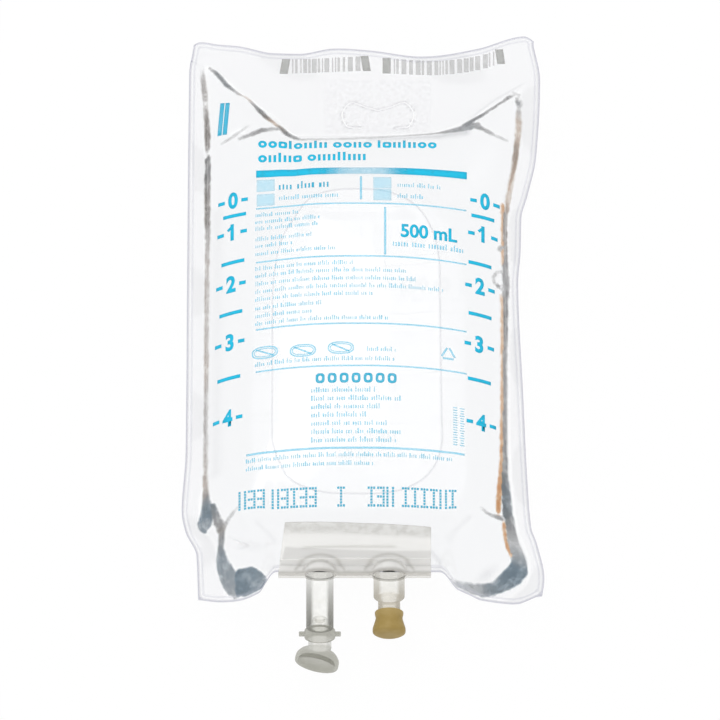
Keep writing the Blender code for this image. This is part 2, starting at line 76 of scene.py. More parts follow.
def node(tree, kind, **settings):
    """A new node. A setting is a socket's number, or its name with spaces as underscores."""
    made = tree.nodes.new(kind)
    for key, value in settings.items():
        if hasattr(made, key) and key not in made.inputs:
            setattr(made, key, value)
            continue
        numbered = key[0] == "i" and key[1:].isdigit()
        socket = made.inputs[int(key[1:]) if numbered else key.replace("_", " ")]
        if isinstance(value, bpy.types.NodeSocket):
            tree.links.new(value, socket)
        else:
            socket.default_value = value
    return made


def maths(tree, operation, a, b=0.0, clamp=False):
    return node(tree, "ShaderNodeMath", operation=operation, use_clamp=clamp, i0=a, i1=b).outputs[0]


def mixed(tree, share, first, second):
    return node(tree, "ShaderNodeMixShader", i0=share, i1=first.outputs[0], i2=second.outputs[0])


def surface(tree, shader):
    node(tree, "ShaderNodeOutputMaterial", Surface=shader.outputs[0])


def white_to_eye(tree):
    """1 for rays that come from the eye, a reflection or a clear piece, and 0 for lighting."""
    path = node(tree, "ShaderNodeLightPath")
    seen = maths(tree, "MAXIMUM", path.outputs["Is Camera Ray"], path.outputs["Is Glossy Ray"])
    return maths(tree, "MAXIMUM", seen, path.outputs["Is Transmission Ray"])


table_white, tree = new_material("table_white")
matt = node(tree, "ShaderNodeBsdfDiffuse", Color=(TABLE_WHITE, TABLE_WHITE, TABLE_WHITE, 1))
glow = node(tree, "ShaderNodeEmission", Color=(1, 1, 1, 1), Strength=1.0)
share = maths(tree, "MULTIPLY", white_to_eye(tree), TABLE_GLOW)
surface(tree, mixed(tree, share, matt, glow))

form = bmesh.new()
bmesh.ops.create_grid(form, x_segments=1, y_segments=1, size=TABLE_SIZE / 2)
bmesh.ops.translate(form, verts=form.verts, vec=(0, 0, -TABLE_DROP))
mesh = bpy.data.meshes.new("table")
form.to_mesh(mesh)
form.free()
mesh.materials.append(table_white)
table = bpy.data.objects.new("table", mesh)
bpy.context.scene.collection.objects.link(table)

world = bpy.data.worlds.new("studio")
bpy.context.scene.world = world
world.use_nodes = True
tree = world.node_tree
tree.nodes.clear()
sky = node(tree, "ShaderNodeTexCoord").outputs["Generated"]
height = node(tree, "ShaderNodeSeparateXYZ", i0=sky).outputs[2]
lift = node(
    tree, "ShaderNodeMapRange", Value=height, From_Min=0.0, From_Max=0.25,
    To_Min=HORIZON_LIGHT, To_Max=SKY_LIGHT,
).outputs[0]
path = node(tree, "ShaderNodeLightPath")
seen = maths(tree, "MAXIMUM", path.outputs["Is Camera Ray"], path.outputs["Is Transmission Ray"])
glow = maths(tree, "MAXIMUM", lift, seen)
light = node(tree, "ShaderNodeBackground", Color=(1, 1, 1, 1), Strength=glow)
node(tree, "ShaderNodeOutputWorld", Surface=light.outputs[0])

lamp = bpy.data.objects.new("soft_light", bpy.data.lights.new("soft_light", "AREA"))
lamp.data.shape = "RECTANGLE"
lamp.data.size, lamp.data.size_y = LAMP_SIZE
lamp.data.energy = LAMP_WATTS
lamp.location = LAMP_PLACE
lamp.rotation_euler = (Vector((0, 0, 0)) - lamp.location).to_track_quat("-Z", "Y").to_euler()
bpy.context.scene.collection.objects.link(lamp)


# The envelope. Two sheets of clear soft film, 0.3 mm thick, welded to each other all round. The
# saline blows it up into a pillow inside the weld, which pulls the sides in and leaves slack
# corners, creases across the weld at the head and a fold in each corner of the foot.
FILM_THICKNESS = 0.0003
WELD_GAP = 0.0003
FOOT_SEAM = 0.0020
FRONT_RISE = 0.0260
SIDE_REACH = 0.052
FOOT_REACH = 0.045
HEAD_REACH = 0.060
ROUNDNESS = 0.60
BACK_FLATNESS = 1.30
LEAN_STEP = 0.008
HEAD_WAVE = 0.0011
HEAD_WAVE_LENGTH = 0.058
HEAD_WAVE_PHASE = 0.6
SEAM_WAVE = 0.0009
SEAM_WAVE_LENGTH = 0.047
SEAM_WAVE_RUN_IN = 0.006
FILM_WIDTH = 0.128
FILM_LENGTH = 0.2145
FOOT_Y = -0.1063
HEAD_Y = FOOT_Y + FILM_LENGTH
HANGER_X = 0.0060
HANGER_DROP = 0.0269
HANGER_Y = HEAD_Y - HANGER_DROP
HANGER_LAND_DEPTH = 0.020
BOOT_X = -0.0013
BOOT_WIDTH = 0.0530
BOOT_FLARE = 0.0024
BOOT_DEPTH = 0.0149
BOOT_WALL = 0.0008
BOOT_EDGE_Y = -0.0967
BOOT_TOP_Y = BOOT_EDGE_Y + BOOT_DEPTH
BOOT_RUN_UP = 0.0080
BOOT_SIDE_ROOM = 0.0008
FOOT_TURN = 0.0065
FIT_GAP = 0.0003
FILM_COLUMNS = 150
FILM_ROWS = 220
HEAD_ROWS = 60
MARGIN_COLUMNS = 5
EVEN_SHARE = 0.45
PLACING_STEPS = 40
SLOPE_STEP = 0.0005
SHARP_ANGLE = math.radians(35)

# A side is (share of the length from the foot, how far it is pulled in), and the foot and the
# head are (share of the width from the left, shift).
LEFT_PULL = (
    (0, 0.0048), (0.08, 0.0041), (0.122, 0.0001), (0.16, -0.0013), (0.27, 0.0001), (0.63, 0.0005),
    (0.95, 0.0010), (1, 0.0026),
)
RIGHT_PULL = (
    (0, -0.0012), (0.04, -0.0023), (0.10, 0.0003), (0.13, 0.0024), (0.22, 0.0038), (0.37, 0.0052),
    (0.57, 0.0069), (0.63, 0.0060), (0.69, 0.0057), (0.73, 0.0034), (0.80, 0.0002), (0.94, -0.0013),
    (1, 0.0010),
)
FOOT_SHIFT = (
    (0, 0.0014), (0.05, 0.0004), (0.12, -0.0005), (0.155, 0), (0.25, 0.0045), (0.72, 0.0064),
    (0.80, 0.0025), (0.84, 0.0001), (0.93, -0.0013), (1, 0.0020),
)
HEAD_SHIFT = (
    (0, -0.0010), (0.04, 0.0018), (0.09, 0.0007), (0.15, 0), (0.25, -0.0022), (0.32, -0.0022),
    (0.42, -0.0003), (0.52, -0.0015), (0.66, -0.0037), (0.83, -0.0003), (0.965, 0.0040), (1, 0.0012),
)
LEFT_SEAM = (
    (0, 0.0165), (0.045, 0.0135), (0.10, 0.0112), (0.135, 0.0060), (0.17, 0.0055), (0.22, 0.0074),
    (1, 0.0076),
)
RIGHT_SEAM = (
    (0, 0.0120), (0.035, 0.0042), (0.065, 0.0036), (0.13, 0.0078), (0.22, 0.0100), (0.30, 0.0108),
    (0.63, 0.0114), (0.72, 0.0110), (0.81, 0.0074), (1, 0.0060),
)
HEAD_WELD = (
    (0, 0.0050), (0.066, 0.0087), (0.156, 0.0185), (0.26, 0.0291), (0.315, 0.0350), (0.55, 0.0350),
    (0.70, 0.0340), (0.76, 0.0318), (0.838, 0.0265), (0.935, 0.0190), (1, 0.0150),
)

# Creases that the filling presses into the front sheet: (points, half width, depth), all in mm.
CREASES = (
    (((-45, 69), (-39.9, 70.9), (-34.4, 73.3), (-29, 74.4)), 1.6, 1.3),
    (((-52, 67.2), (-44.2, 72.2), (-39.6, 75.6)), 0.9, 0.5),
    (((40, 76.2), (44.6, 73.8), (48.6, 71.4), (54.0, 69.6)), 1.1, 1.0),
    (((-44.4, -75.0), (-48.6, -79.4), (-50.7, -84.0), (-50.9, -90.0)), 0.9, 0.8),
    (((43, -75.4), (47.0, -77.4), (52.0, -78.2)), 0.9, 0.8),
    (((51.5, 19.3), (47.7, 15.4), (49.7, 12.6)), 0.7, 0.6),
)
# Lines painted where the light goes astray in the saline, with points read from the photo and scaled
# to the film: rows of (x, y, half width, darkness, warmth), the first three in mm. A warmth of -1 is
# slate blue, 0 is grey and 1 is amber.
STROKES = (
    (
        (-55.5, 99.9, 0.25, 0.45, 0), (-53, 97.8, 0.6, 0.75, -0.2), (-49.3, 92.9, 0.75, 0.78, -0.3),
        (-45.7, 89.7, 0.45, 0.6, 0), (-42, 88.3, 0.3, 0.4, 0.5), (-39.5, 85.4, 0.65, 0.85, 0),
        (-36.9, 81.8, 1, 0.97, 0), (-34.8, 79.2, 0.75, 0.88, 0.1), (-31.8, 76.5, 0.45, 0.6, 0.6),
        (-30, 75.3, 0.6, 0.8, 0.2), (-27.5, 72.7, 1.2, 0.92, 0), (-24.6, 71.1, 0.9, 0.85, 0),
        (-22.4, 69.9, 0.4, 0.45, 0), (-15.1, 69.6, 0.35, 0.3, 0), (-6, 69.8, 0.35, 0.32, 0),
        (4.9, 70.9, 0.4, 0.36, 0), (14, 72.4, 0.45, 0.46, 0), (23.1, 73.6, 0.6, 0.64, 0),
        (30.4, 73.9, 0.8, 0.78, 0), (35.1, 74.4, 1.2, 0.78, -0.2), (39.5, 75.4, 1.6, 0.72, -0.3),
        (42.4, 76, 0.9, 0.65, 0),
    ),
    (
        (38, 76.8, 0.9, 0.8, -0.2), (43.9, 81, 0.7, 0.8, -0.1), (48.6, 84.5, 0.5, 0.72, 0),
        (51.5, 86.6, 0.4, 0.6, 0), (53.7, 88.3, 0.6, 0.85, 0), (55.9, 89.5, 0.25, 0.3, 0),
    ),
    (
        (40.4, 76, 1.3, 0.68, -0.2), (44.6, 73.8, 0.6, 0.55, 0), (48.6, 71.4, 0.38, 0.42, 0),
        (53, 69.9, 0.3, 0.25, 0),
    ),
    (
        (-44.6, 69, 0.35, 0.4, 0), (-39.9, 70.9, 0.65, 0.62, 0), (-36.2, 72.7, 0.75, 0.66, 0),
        (-32.6, 73.6, 0.6, 0.55, 0), (-29.3, 74.4, 0.4, 0.5, 0),
    ),
    (
        (-51.1, 67.9, 0.25, 0.2, 0), (-48.6, 69, 0.32, 0.32, 0), (-44.2, 72.2, 0.32, 0.3, 0),
        (-40.6, 74.9, 0.25, 0.1, 0),
    ),
    (
        (-58.3, 99.3, 0.4, 0.32, 0), (-57.8, 95.1, 0.7, 0.62, 0.1), (-57.3, 90.4, 0.8, 0.67, 0.1),
        (-57, 86.2, 0.6, 0.47, 0.1), (-56.8, 82.7, 0.65, 0.72, 0.1), (-56.4, 77.6, 0.8, 0.87, 0.1),
        (-56.1, 71.3, 0.85, 0.92, 0.1), (-56.2, 67.9, 0.6, 0.72, 0.1), (-56.3, 66.7, 0.4, 0.22, 0),
    ),
    (
        (-56.1, 64.2, 0.82, 0.89, 0), (-56.1, 57.7, 0.92, 0.96, 0), (-56.2, 50, 0.94, 0.89, 0.1),
        (-56.1, 38.2, 0.84, 0.86, 0.1), (-56, 32.3, 0.64, 0.64, 0.1), (-56.2, 24, 0.67, 0.58, 0.2),
        (-56.4, -6, 0.64, 0.52, 0.2), (-56.4, -18.4, 0.68, 0.58, 0.3), (-56.5, -29.1, 0.64, 0.49, 0.1),
        (-56.6, -44.3, 0.64, 0.5, 0.1), (-56.7, -56, 0.68, 0.56, 0.2), (-56.6, -62.6, 0.74, 0.69, 0.3),
        (-56.4, -68.4, 0.92, 0.84, 0.1),
    ),
    (
        (-56.3, -68.8, 0.9, 0.8, -0.2), (-56.1, -72.8, 1.8, 0.92, -0.9), (-56.5, -75.8, 2.4, 0.9, -1),
        (-56.7, -77.5, 2.6, 0.78, -0.8),
    ),
    (
        (-54.1, -73.3, 1.2, 0.84, -0.5), (-52.6, -77.4, 1.2, 0.72, -0.2), (-51.5, -79.9, 1.2, 0.7, 0),
        (-50.7, -82.1, 0.9, 0.82, 0.1),
    ),
    (
        (-50.7, -81.8, 0.9, 0.85, 0.1), (-50.6, -84.8, 0.8, 0.76, -0.2), (-51, -87.3, 1, 0.76, -0.5),
        (-51, -90.7, 1.6, 0.76, -0.8), (-50.2, -93.8, 2.1, 0.72, -0.8), (-48.4, -97.7, 2.8, 0.7, -0.7),
        (-46.6, -101.8, 2.6, 0.64, -0.6), (-45.9, -104.8, 0.8, 0.55, -0.4),
    ),
    (
        (-45, -102.4, 2.5, 0.84, -1), (-43.1, -100.3, 4.2, 0.86, -1), (-39.9, -99.5, 3.5, 0.8, -1),
        (-35.9, -99.5, 2, 0.74, -0.9), (-31.8, -100.3, 0.4, 0.6, -0.6),
    ),
    (
        (-45, -75.6, 0.3, 0.15, 0), (-46.8, -77.4, 0.38, 0.34, 0), (-48.6, -79.4, 0.45, 0.46, 0),
        (-49.9, -81.2, 0.6, 0.6, 0.1),
    ),
    (
        (56.8, 88, 0.4, 0.4, 0), (57.1, 86.4, 0.6, 0.7, -0.2), (57.4, 84.2, 0.6, 0.3, 0),
    ),
    (
        (57.5, 83.1, 0.82, 0.46, 0.1), (57.3, 78.8, 0.92, 0.5, 0.5), (57.1, 73.8, 0.92, 0.5, 0.5),
        (56.6, 68.6, 0.77, 0.78, 0.3), (56.1, 63.9, 0.84, 0.82, 0.3), (55.3, 59.5, 0.72, 0.68, 0.4),
        (54.4, 54.4, 0.67, 0.66, 0.5), (53.5, 48.6, 0.67, 0.66, 0.5), (52.8, 43.7, 0.72, 0.71, 0.3),
    ),
    (
        (52.15, 42.2, 0.76, 0.76, 0.1), (52.15, 32.8, 0.81, 0.76, 0.1), (52.25, 24.5, 0.91, 0.78, 0),
        (52.65, 15.7, 1.16, 0.68, 0), (52.25, 9.6, 0.88, 0.76, 0), (52.15, -0.3, 0.92, 0.82, 0),
        (51.95, -14.2, 0.76, 0.72, 0), (51.95, -29.9, 0.76, 0.72, 0), (51.85, -51.7, 0.81, 0.76, 0),
        (51.85, -59.8, 1.01, 0.9, -0.2), (52.25, -65.7, 1.46, 0.97, -0.6),
        (52.65, -71.6, 1.46, 0.97, -0.6), (52.95, -75.9, 1.76, 0.97, -0.4),
    ),
    (
        (51.45, 45.3, 0.42, 0.8, 1), (51.35, 31.7, 0.44, 0.7, 1), (51.35, 22.5, 0.44, 0.65, 1),
    ),
    (
        (50.85, 9.4, 0.46, 0.52, 1), (51.15, 4.4, 0.46, 0.72, 1), (51.15, -15.1, 0.46, 0.67, 1),
        (50.95, -38.7, 0.46, 0.72, 1), (50.75, -54.5, 0.54, 0.92, 1), (50.25, -62.8, 0.62, 0.97, 1),
        (49.85, -69, 0.74, 0.97, 1), (49.65, -73.2, 0.67, 0.97, 1), (49.55, -75.6, 0.52, 0.82, 1),
    ),
    (
        (50.2, 27.1, 0.6, 0.4, 0), (51.7, 29, 0.9, 0.5, 0),
    ),
    (
        (51.5, 19.3, 0.3, 0.35, 0), (49.3, 17.8, 0.3, 0.38, 0), (47.7, 15.4, 0.3, 0.35, 0),
        (48.2, 13.3, 0.3, 0.4, 0), (49.7, 12.6, 0.6, 0.6, 0), (51.5, 12.3, 0.3, 0.4, 0),
    ),
    (
        (53.5, -76.6, 1.5, 0.82, -0.2), (54.1, -81.4, 1.7, 0.74, -0.1), (54.8, -85.9, 1.9, 0.5, -0.1),
        (56.1, -89.5, 2.3, 0.56, -0.3), (57.1, -92.6, 2.6, 0.68, -0.6), (57.1, -95.4, 2.9, 0.88, -1),
        (54.8, -98.3, 3, 0.92, -1), (51.5, -100.9, 2.3, 0.86, -0.9), (48.2, -102.6, 1.7, 0.8, -0.8),
        (44.2, -103.3, 1.5, 0.75, -0.5), (40.2, -102.4, 1.1, 0.6, -0.3),
        (36.2, -100.9, 0.7, 0.45, -0.6), (32.9, -99.3, 0.45, 0.4, -0.3), (30.4, -97.4, 0.5, 0.6, 0),
        (28.9, -96.6, 0.5, 0.6, 0),
    ),
    (
        (51.5, -79.5, 0.52, 0.85, 1), (51.9, -84.7, 0.54, 0.85, 1), (52.8, -88.5, 0.54, 0.85, 1),
        (54.4, -91.8, 0.47, 0.7, 1),
    ),
    (
        (43.3, -75.4, 0.28, 0.2, 0), (45.9, -77.2, 0.38, 0.45, 0), (48.2, -77.6, 0.5, 0.6, 0),
        (50.8, -77.9, 0.6, 0.7, 0),
    ),
    (
        (55.5, 90.6, 0.3, 0.2, 0), (57.7, 89.3, 0.3, 0.3, 0), (58.2, 86.2, 0.45, 0.45, 0),
        (57.7, 84.6, 0.3, 0.3, 0),
    ),
)
# Fainter painted shade in the film and its welds, in the same way: (x, y, half width, darkness).
FAINT_SHADES = (
    ((-46.0, 98.6, 0.7, 0.05), (-40.6, 92.4, 0.8, 0.09), (-35.5, 86.6, 0.8, 0.09), (-31.1, 81.9, 0.7, 0.04)),
    (
        (61.7, 95.5, 0.8, 0.10), (55.9, 92.0, 0.8, 0.16), (49.3, 88.1, 0.8, 0.17), (43.1, 83.5, 0.8, 0.17),
        (38, 79.2, 0.8, 0.08),
    ),
    ((-62.1, 104.8, 1.6, 0.10), (-57.0, 105.3, 2.0, 0.11), (-49.3, 104.0, 1.6, 0.05)),
    ((3.1, 69.3, 0.9, 0.12), (14.0, 70.3, 1.2, 0.18), (28.6, 71.2, 1.5, 0.22), (38.0, 72.6, 1.5, 0.22)),
    ((48.2, -96.8, 1.4, 0.05), (45.3, -98.8, 1.6, 0.12), (42.4, -100.3, 1.4, 0.05)),
    ((39.1, -79.5, 0.8, 0.05), (31.8, -87.0, 0.8, 0.06)),
    ((-37.7, -81.5, 0.8, 0.04), (-31.5, -86.4, 0.8, 0.07)),
    ((24.6, -89.5, 0.8, 0.10), (28.6, -92.6, 0.8, 0.14)),
    ((56.6, 40.0, 1.2, 0.12), (55.6, 0.0, 1.2, 0.14), (56.6, -50.0, 1.2, 0.12)),
    ((-52.5, 40.0, 2.2, 0.05), (-52.5, -20.0, 2.2, 0.04), (-52.8, -60.0, 2.2, 0.06)),
)
OUTSIDE = 3.0
# The welds' grey, partly the welded film's own tone and partly painted shade.
WELD_GREY = 0.085


def through(points, at):
    """The smooth curve through a few points, with no overshoot."""
    places, values = np.array(points, float).T
    rates = np.diff(values) / np.diff(places)
    before, after = rates[:-1], rates[1:]
    level = before * after <= 0
    middle = 2 * before * after / np.where(level, 1, before + after)
    slopes = np.concatenate([rates[:1], np.where(level, 0, middle), rates[-1:]])
    at = np.clip(at, places[0], places[-1])
    k = np.clip(np.searchsorted(places, at, side="right") - 1, 0, len(places) - 2)
    span = places[k + 1] - places[k]
    u = (at - places[k]) / span
    start = (1 + 2 * u) * (1 - u) ** 2 * values[k] + u * (1 - u) ** 2 * span * slopes[k]
    end = u * u * (3 - 2 * u) * values[k + 1] + u * u * (u - 1) * span * slopes[k + 1]
    return start + end


def ease(share):
    share = np.clip(share, 0, 1)
    return share * share * (3 - 2 * share)


def across(x):
    return x / FILM_WIDTH + 0.5


def along(y):
    return (y - FOOT_Y) / FILM_LENGTH


def left_edge(y):
    return -FILM_WIDTH / 2 + through(LEFT_PULL, along(y))


def right_edge(y):
    return FILM_WIDTH / 2 - through(RIGHT_PULL, along(y))


def left_wet(y):
    return -FILM_WIDTH / 2 + through(LEFT_SEAM, along(y))


def right_wet(y):
    return FILM_WIDTH / 2 - through(RIGHT_SEAM, along(y))


def foot_edge(x):
    free = FOOT_Y + through(FOOT_SHIFT, across(x))
    beside = np.abs(x - BOOT_X) - BOOT_WIDTH / 2 - BOOT_FLARE - BOOT_SIDE_ROOM
    grip = 1 - ease(beside / FOOT_TURN)
    return free + grip * (BOOT_EDGE_Y + BOOT_WALL + 2 * FIT_GAP - free)


def foot_wet(x):
    return foot_edge(x) + FOOT_SEAM


def head_edge(x):
    return HEAD_Y + through(HEAD_SHIFT, across(x))


def head_wet(x):
    return HEAD_Y - through(HEAD_WELD, across(x))


def swell(distance, reach):
    """How far the pillow is up, from 0 to 1, at this distance inside one of its edges."""
    inward = 1 - np.clip(distance / reach, 0, 1)
    return (1 - inward**2) ** ROUNDNESS


def head_distance(x, y):
    lean = (head_wet(x + LEAN_STEP) - head_wet(x - LEAN_STEP)) / (2 * LEAN_STEP)
    return (head_wet(x) - y) / np.hypot(1, lean)


def fullness(x, y):
    return (
        swell(x - left_wet(y), SIDE_REACH)
        * swell(right_wet(y) - x, SIDE_REACH)
        * swell(y - foot_wet(x), FOOT_REACH)
        * swell(head_distance(x, y), HEAD_REACH)
    )


def abreast(x, y, row):
    """For each run of a row of points in mm, how far off (x, y) is, and the row's values abreast of it."""
    x, y = x * 1000, y * 1000
    for start, end in zip(row, row[1:]):
        (x0, y0), (x1, y1) = start[:2], end[:2]
        run = ((x - x0) * (x1 - x0) + (y - y0) * (y1 - y0)) / ((x1 - x0) ** 2 + (y1 - y0) ** 2)
        run = np.clip(run, 0, 1)
        away = np.hypot(x - x0 - run * (x1 - x0), y - y0 - run * (y1 - y0))
        yield away, [a + run * (b - a) for a, b in zip(start[2:], end[2:])]


def crease_depth(x, y):
    total = np.zeros(np.shape(x))
    for points, half, depth in CREASES:
        away = np.min([off for off, _ in abreast(x, y, points)], axis=0)
        total = total + depth / 1000 * np.exp(-((away / (1.5 * half)) ** 2))
    return total


def front_rise(x, y):
    full = fullness(x, y)
    return FRONT_RISE * full - crease_depth(x, y) * np.minimum(1, 2 * full) ** 2


def back_rise(x, y):
    over_boot = 1 - ease((y - BOOT_TOP_Y - BOOT_RUN_UP) / BOOT_RUN_UP)
    deepest = SEAM_HEIGHT - WELD_GAP / 2 - FILM_THICKNESS - over_boot * (BOOT_WALL + 2 * FIT_GAP)
    return np.minimum(deepest, SEAM_HEIGHT * BACK_FLATNESS * fullness(x, y))


def weld_height(x, y):
    """The height of the middle of the welds, which wave a little at the head and the sides."""
    land_top = HANGER_Y + HANGER_LAND_DEPTH / 2
    head = ease((y - land_top) / (HEAD_Y - land_top))
    side = ease(np.maximum(left_wet(y) - x, x - right_wet(y)) / SEAM_WAVE_RUN_IN) * (y < head_wet(x))
    waves = HEAD_WAVE * head * np.sin(2 * np.pi * x / HEAD_WAVE_LENGTH + HEAD_WAVE_PHASE)
    waves = waves + SEAM_WAVE * side * np.sin(2 * np.pi * y / SEAM_WAVE_LENGTH)
    return SEAM_HEIGHT + waves


def between(place, stops):
    """Where a place from -1 to 2 lies among four stops, a margin of the film on each side of 0 to 1."""
    low = stops[0] + (place + 1) * (stops[1] - stops[0])
    mid = stops[1] + place * (stops[2] - stops[1])
    high = stops[2] + (place - 1) * (stops[3] - stops[2])
    return np.where(place < 0, low, np.where(place > 1, high, mid))


def film_place(column, row):
    """Where a place of the grid lies on the film, found in steps, because its edges bend both ways."""
    x = FILM_WIDTH * (column / 3 - 1 / 6)
    y = FOOT_Y + FILM_LENGTH * row / 2
    for _ in range(PLACING_STEPS):
        x = (x + between(column, (left_edge(y), left_wet(y), right_wet(y), right_edge(y)))) / 2
        y = (y + between(row, (foot_edge(x), foot_wet(x), head_wet(x), head_edge(x)))) / 2
    return x, y


def crowded_ends(count):
    """Shares from 0 to 1 that lie closer together towards both ends."""
    even = np.linspace(0, 1, count + 1)
    return EVEN_SHARE * even + (1 - EVEN_SHARE) * (1 - np.cos(np.pi * even)) / 2


def slope(x, y, rise):
    lean_x = (rise(x + SLOPE_STEP, y) - rise(x - SLOPE_STEP, y)) / (2 * SLOPE_STEP)
    lean_y = (rise(x, y + SLOPE_STEP) - rise(x, y - SLOPE_STEP)) / (2 * SLOPE_STEP)
    return lean_x, lean_y, np.sqrt(1 + lean_x**2 + lean_y**2)


def sheet(columns, rows):
    form = bmesh.new()
    bmesh.ops.create_grid(form, x_segments=columns - 1, y_segments=rows - 1, size=1)
    order = sorted(form.verts, key=lambda v: (round(v.co.y, 6), round(v.co.x, 6)))
    return form, np.array(order, object).reshape(rows, columns)


def place_all(verts, x, y, z):
    for vert, *spot in zip(verts.flat, x.flat, y.flat, z.flat):
        vert.co = spot


def in_order(form, verts):
    """Numbers the vertices as the grid has them, row by row, so that a field can be laid on them."""
    for number, vert in enumerate(verts.flat):
        vert.index = number
    form.verts.sort()


def finished(name, form, *materials):
    """The form as an object, shaded smooth apart from its sharp edges."""
    mesh = bpy.data.meshes.new(name)
    form.to_mesh(mesh)
    form.free()
    for finish in materials:
        mesh.materials.append(finish)
    mesh.shade_smooth()
    mesh.set_sharp_from_angle(angle=SHARP_ANGLE)
    made = bpy.data.objects.new(name, mesh)
    bpy.context.scene.collection.objects.link(made)
    return made


def attribute(obj, name, values):
    layer = obj.data.attributes.new(name, "FLOAT", "POINT")
    layer.data.foreach_set("value", np.asarray(values, np.float32).ravel())


def baked(obj):
    """Keeps what the modifiers make of an object as its own mesh."""
    depsgraph = bpy.context.evaluated_depsgraph_get()
    mesh = bpy.data.meshes.new_from_object(obj.evaluated_get(depsgraph))
    obj.modifiers.clear()
    obj.data = mesh


def stroke_fields(x, y):
    """How deep a point lies inside the strokes in mm, and how dark and warm they are there."""
    depth = np.full(np.shape(x), -OUTSIDE)
    dark = np.zeros(np.shape(x))
    warm = np.zeros(np.shape(x))
    for row in STROKES:
        for away, (half, darkness, warmth) in abreast(x, y, row):
            deeper = half - away > depth
            depth = np.where(deeper, half - away, depth)
            dark = np.where(deeper, darkness, dark)
            warm = np.where(deeper, warmth, warm)
    return depth, dark, warm


def rim_distance(x, y):
    """How far inside the pillow's weld a point is, in mm."""
    beside = np.minimum(x - left_wet(y), right_wet(y) - x)
    return np.minimum(np.minimum(beside, y - foot_wet(x)), head_distance(x, y)) * 1000


# The film's finish. Clear and glossy, a little milky where the two sheets are welded, with painted grey
# shade along its cut edge and a knurled weld round the hanger. The dark and amber lines that bent light
# makes where the saline stops are painted on.
CLEAR = (0.996, 0.997, 0.999, 1)
SLATE = (0.30, 0.372, 0.425, 1)
GREY = (0.35, 0.348, 0.348, 1)
AMBER = (0.74, 0.50, 0.30, 1)
# The grey of painted shade, and of the welds' own tone.
TONE_AND_SHADE_GREY = (0.45, 0.45, 0.48, 1)
# The grey of painted shade along the cut edge.
CUT_EDGE_SHADE = (0.79, 0.79, 0.83, 1)


def smooth_step(tree, value, start, end, low, high):
    return node(
        tree, "ShaderNodeMapRange", interpolation_type="SMOOTHSTEP", Value=value,
        From_Min=start, From_Max=end, To_Min=low, To_Max=high,
    ).outputs[0]


def blended(tree, share, first, second):
    return node(tree, "ShaderNodeMix", data_type="RGBA", i0=share, i6=first, i7=second).outputs[2]


def field(tree, name):
    return node(tree, "ShaderNodeAttribute", attribute_name=name).outputs["Fac"]


def rest_of(tree, share):
    return maths(tree, "SUBTRACT", 1.0, share)


def noise(tree, scale, detail, roughness=0.5):
    place = node(tree, "ShaderNodeTexCoord").outputs["Object"]
    made = node(tree, "ShaderNodeTexNoise", Vector=place, Scale=scale, Detail=detail, Roughness=roughness)
    return made.outputs[0]


def film_finish(name, lined, reflects):
    made, tree = new_material(name)
    inner_face = node(tree, "ShaderNodeNewGeometry").outputs["Backfacing"]
    fresnel = node(tree, "ShaderNodeFresnel", IOR=reflects).outputs[0]
    fresnel = maths(tree, "MULTIPLY", fresnel, rest_of(tree, inner_face))
    clear = node(tree, "ShaderNodeBsdfTransparent", Color=CLEAR)
    gloss = node(tree, "ShaderNodeBsdfGlossy", Color=(1, 1, 1, 1), Roughness=0.09)
    milk = node(tree, "ShaderNodeBsdfPrincipled", Base_Color=(0.80, 0.80, 0.83, 1), Roughness=0.30)
    if lined:
        warm = field(tree, "warm")
        patchy = smooth_step(tree, noise(tree, 210.0, 4.0, 0.7), 0.38, 0.56, 0.74, 1.0)
        ragged = maths(tree, "SUBTRACT", noise(tree, 420.0, 3.0, 0.7), 0.5)
        ragged = maths(tree, "MULTIPLY", ragged, 1.2)
        depth = maths(tree, "ADD", field(tree, "stroke"), ragged)
        inside = smooth_step(tree, depth, -0.62, 0.30, 0.0, 1.0)
        dark = maths(tree, "MULTIPLY", inside, field(tree, "dark"))
        dark = maths(tree, "MULTIPLY", dark, patchy, clamp=True)
        cold = maths(tree, "MULTIPLY", warm, -1.0, clamp=True)
        tone = blended(tree, cold, GREY, SLATE)
        tone = blended(tree, maths(tree, "MAXIMUM", warm, 0.0), tone, AMBER)
        colour = blended(tree, dark, CLEAR, tone)
        # Painted grey shade in faint rows and along the slit, and over the welds partly their own tone.
        colour = blended(tree, field(tree, "grey_and_shade"), colour, TONE_AND_SHADE_GREY)
        # Painted grey shade along the cut edge, and in a second line 1.9 mm inside it.
        edge = field(tree, "edge")
        outer = smooth_step(tree, edge, 0.10, 1.15, 1.0, 0.0)
        second = maths(tree, "ABSOLUTE", maths(tree, "SUBTRACT", edge, 1.9))
        second = smooth_step(tree, second, 0.05, 0.65, 0.40, 0.0)
        colour = blended(tree, maths(tree, "MAXIMUM", outer, second), colour, CUT_EDGE_SHADE)
        tree.links.new(colour, clear.inputs["Color"])
    mottle = smooth_step(tree, noise(tree, 520.0, 3.0), 0.40, 0.64, 0.015, 0.045)
    cloudy = maths(tree, "ADD", maths(tree, "MULTIPLY", field(tree, "land"), mottle), 0.012)
    surface(tree, mixed(tree, cloudy, mixed(tree, fresnel, clear, gloss), milk))
    return made


# The right half of the hanger's slit, from its dip round the lobe to the hook at its end.
SLIT = (
    (0, 0.0023), (0.0045, 0.0036), (0.0095, 0.0054), (0.0131, 0.0006), (0.0108, -0.0042),
    (0.0065, -0.0046),
)
SLIT_WIDTH = 0.0005
SLIT_STEPS = 12
SLIT_CUT = 0.004
# Painted shade along the slit.
SLIT_SHADE_HALF_WIDTH = 0.70
SLIT_SHADE = 0.40
LAND_HALF_WIDTH = 0.0200
LAND_HALF_DEPTH = 0.0110
LAND_SHIFT = 0.004
LAND_FADE = 0.0015


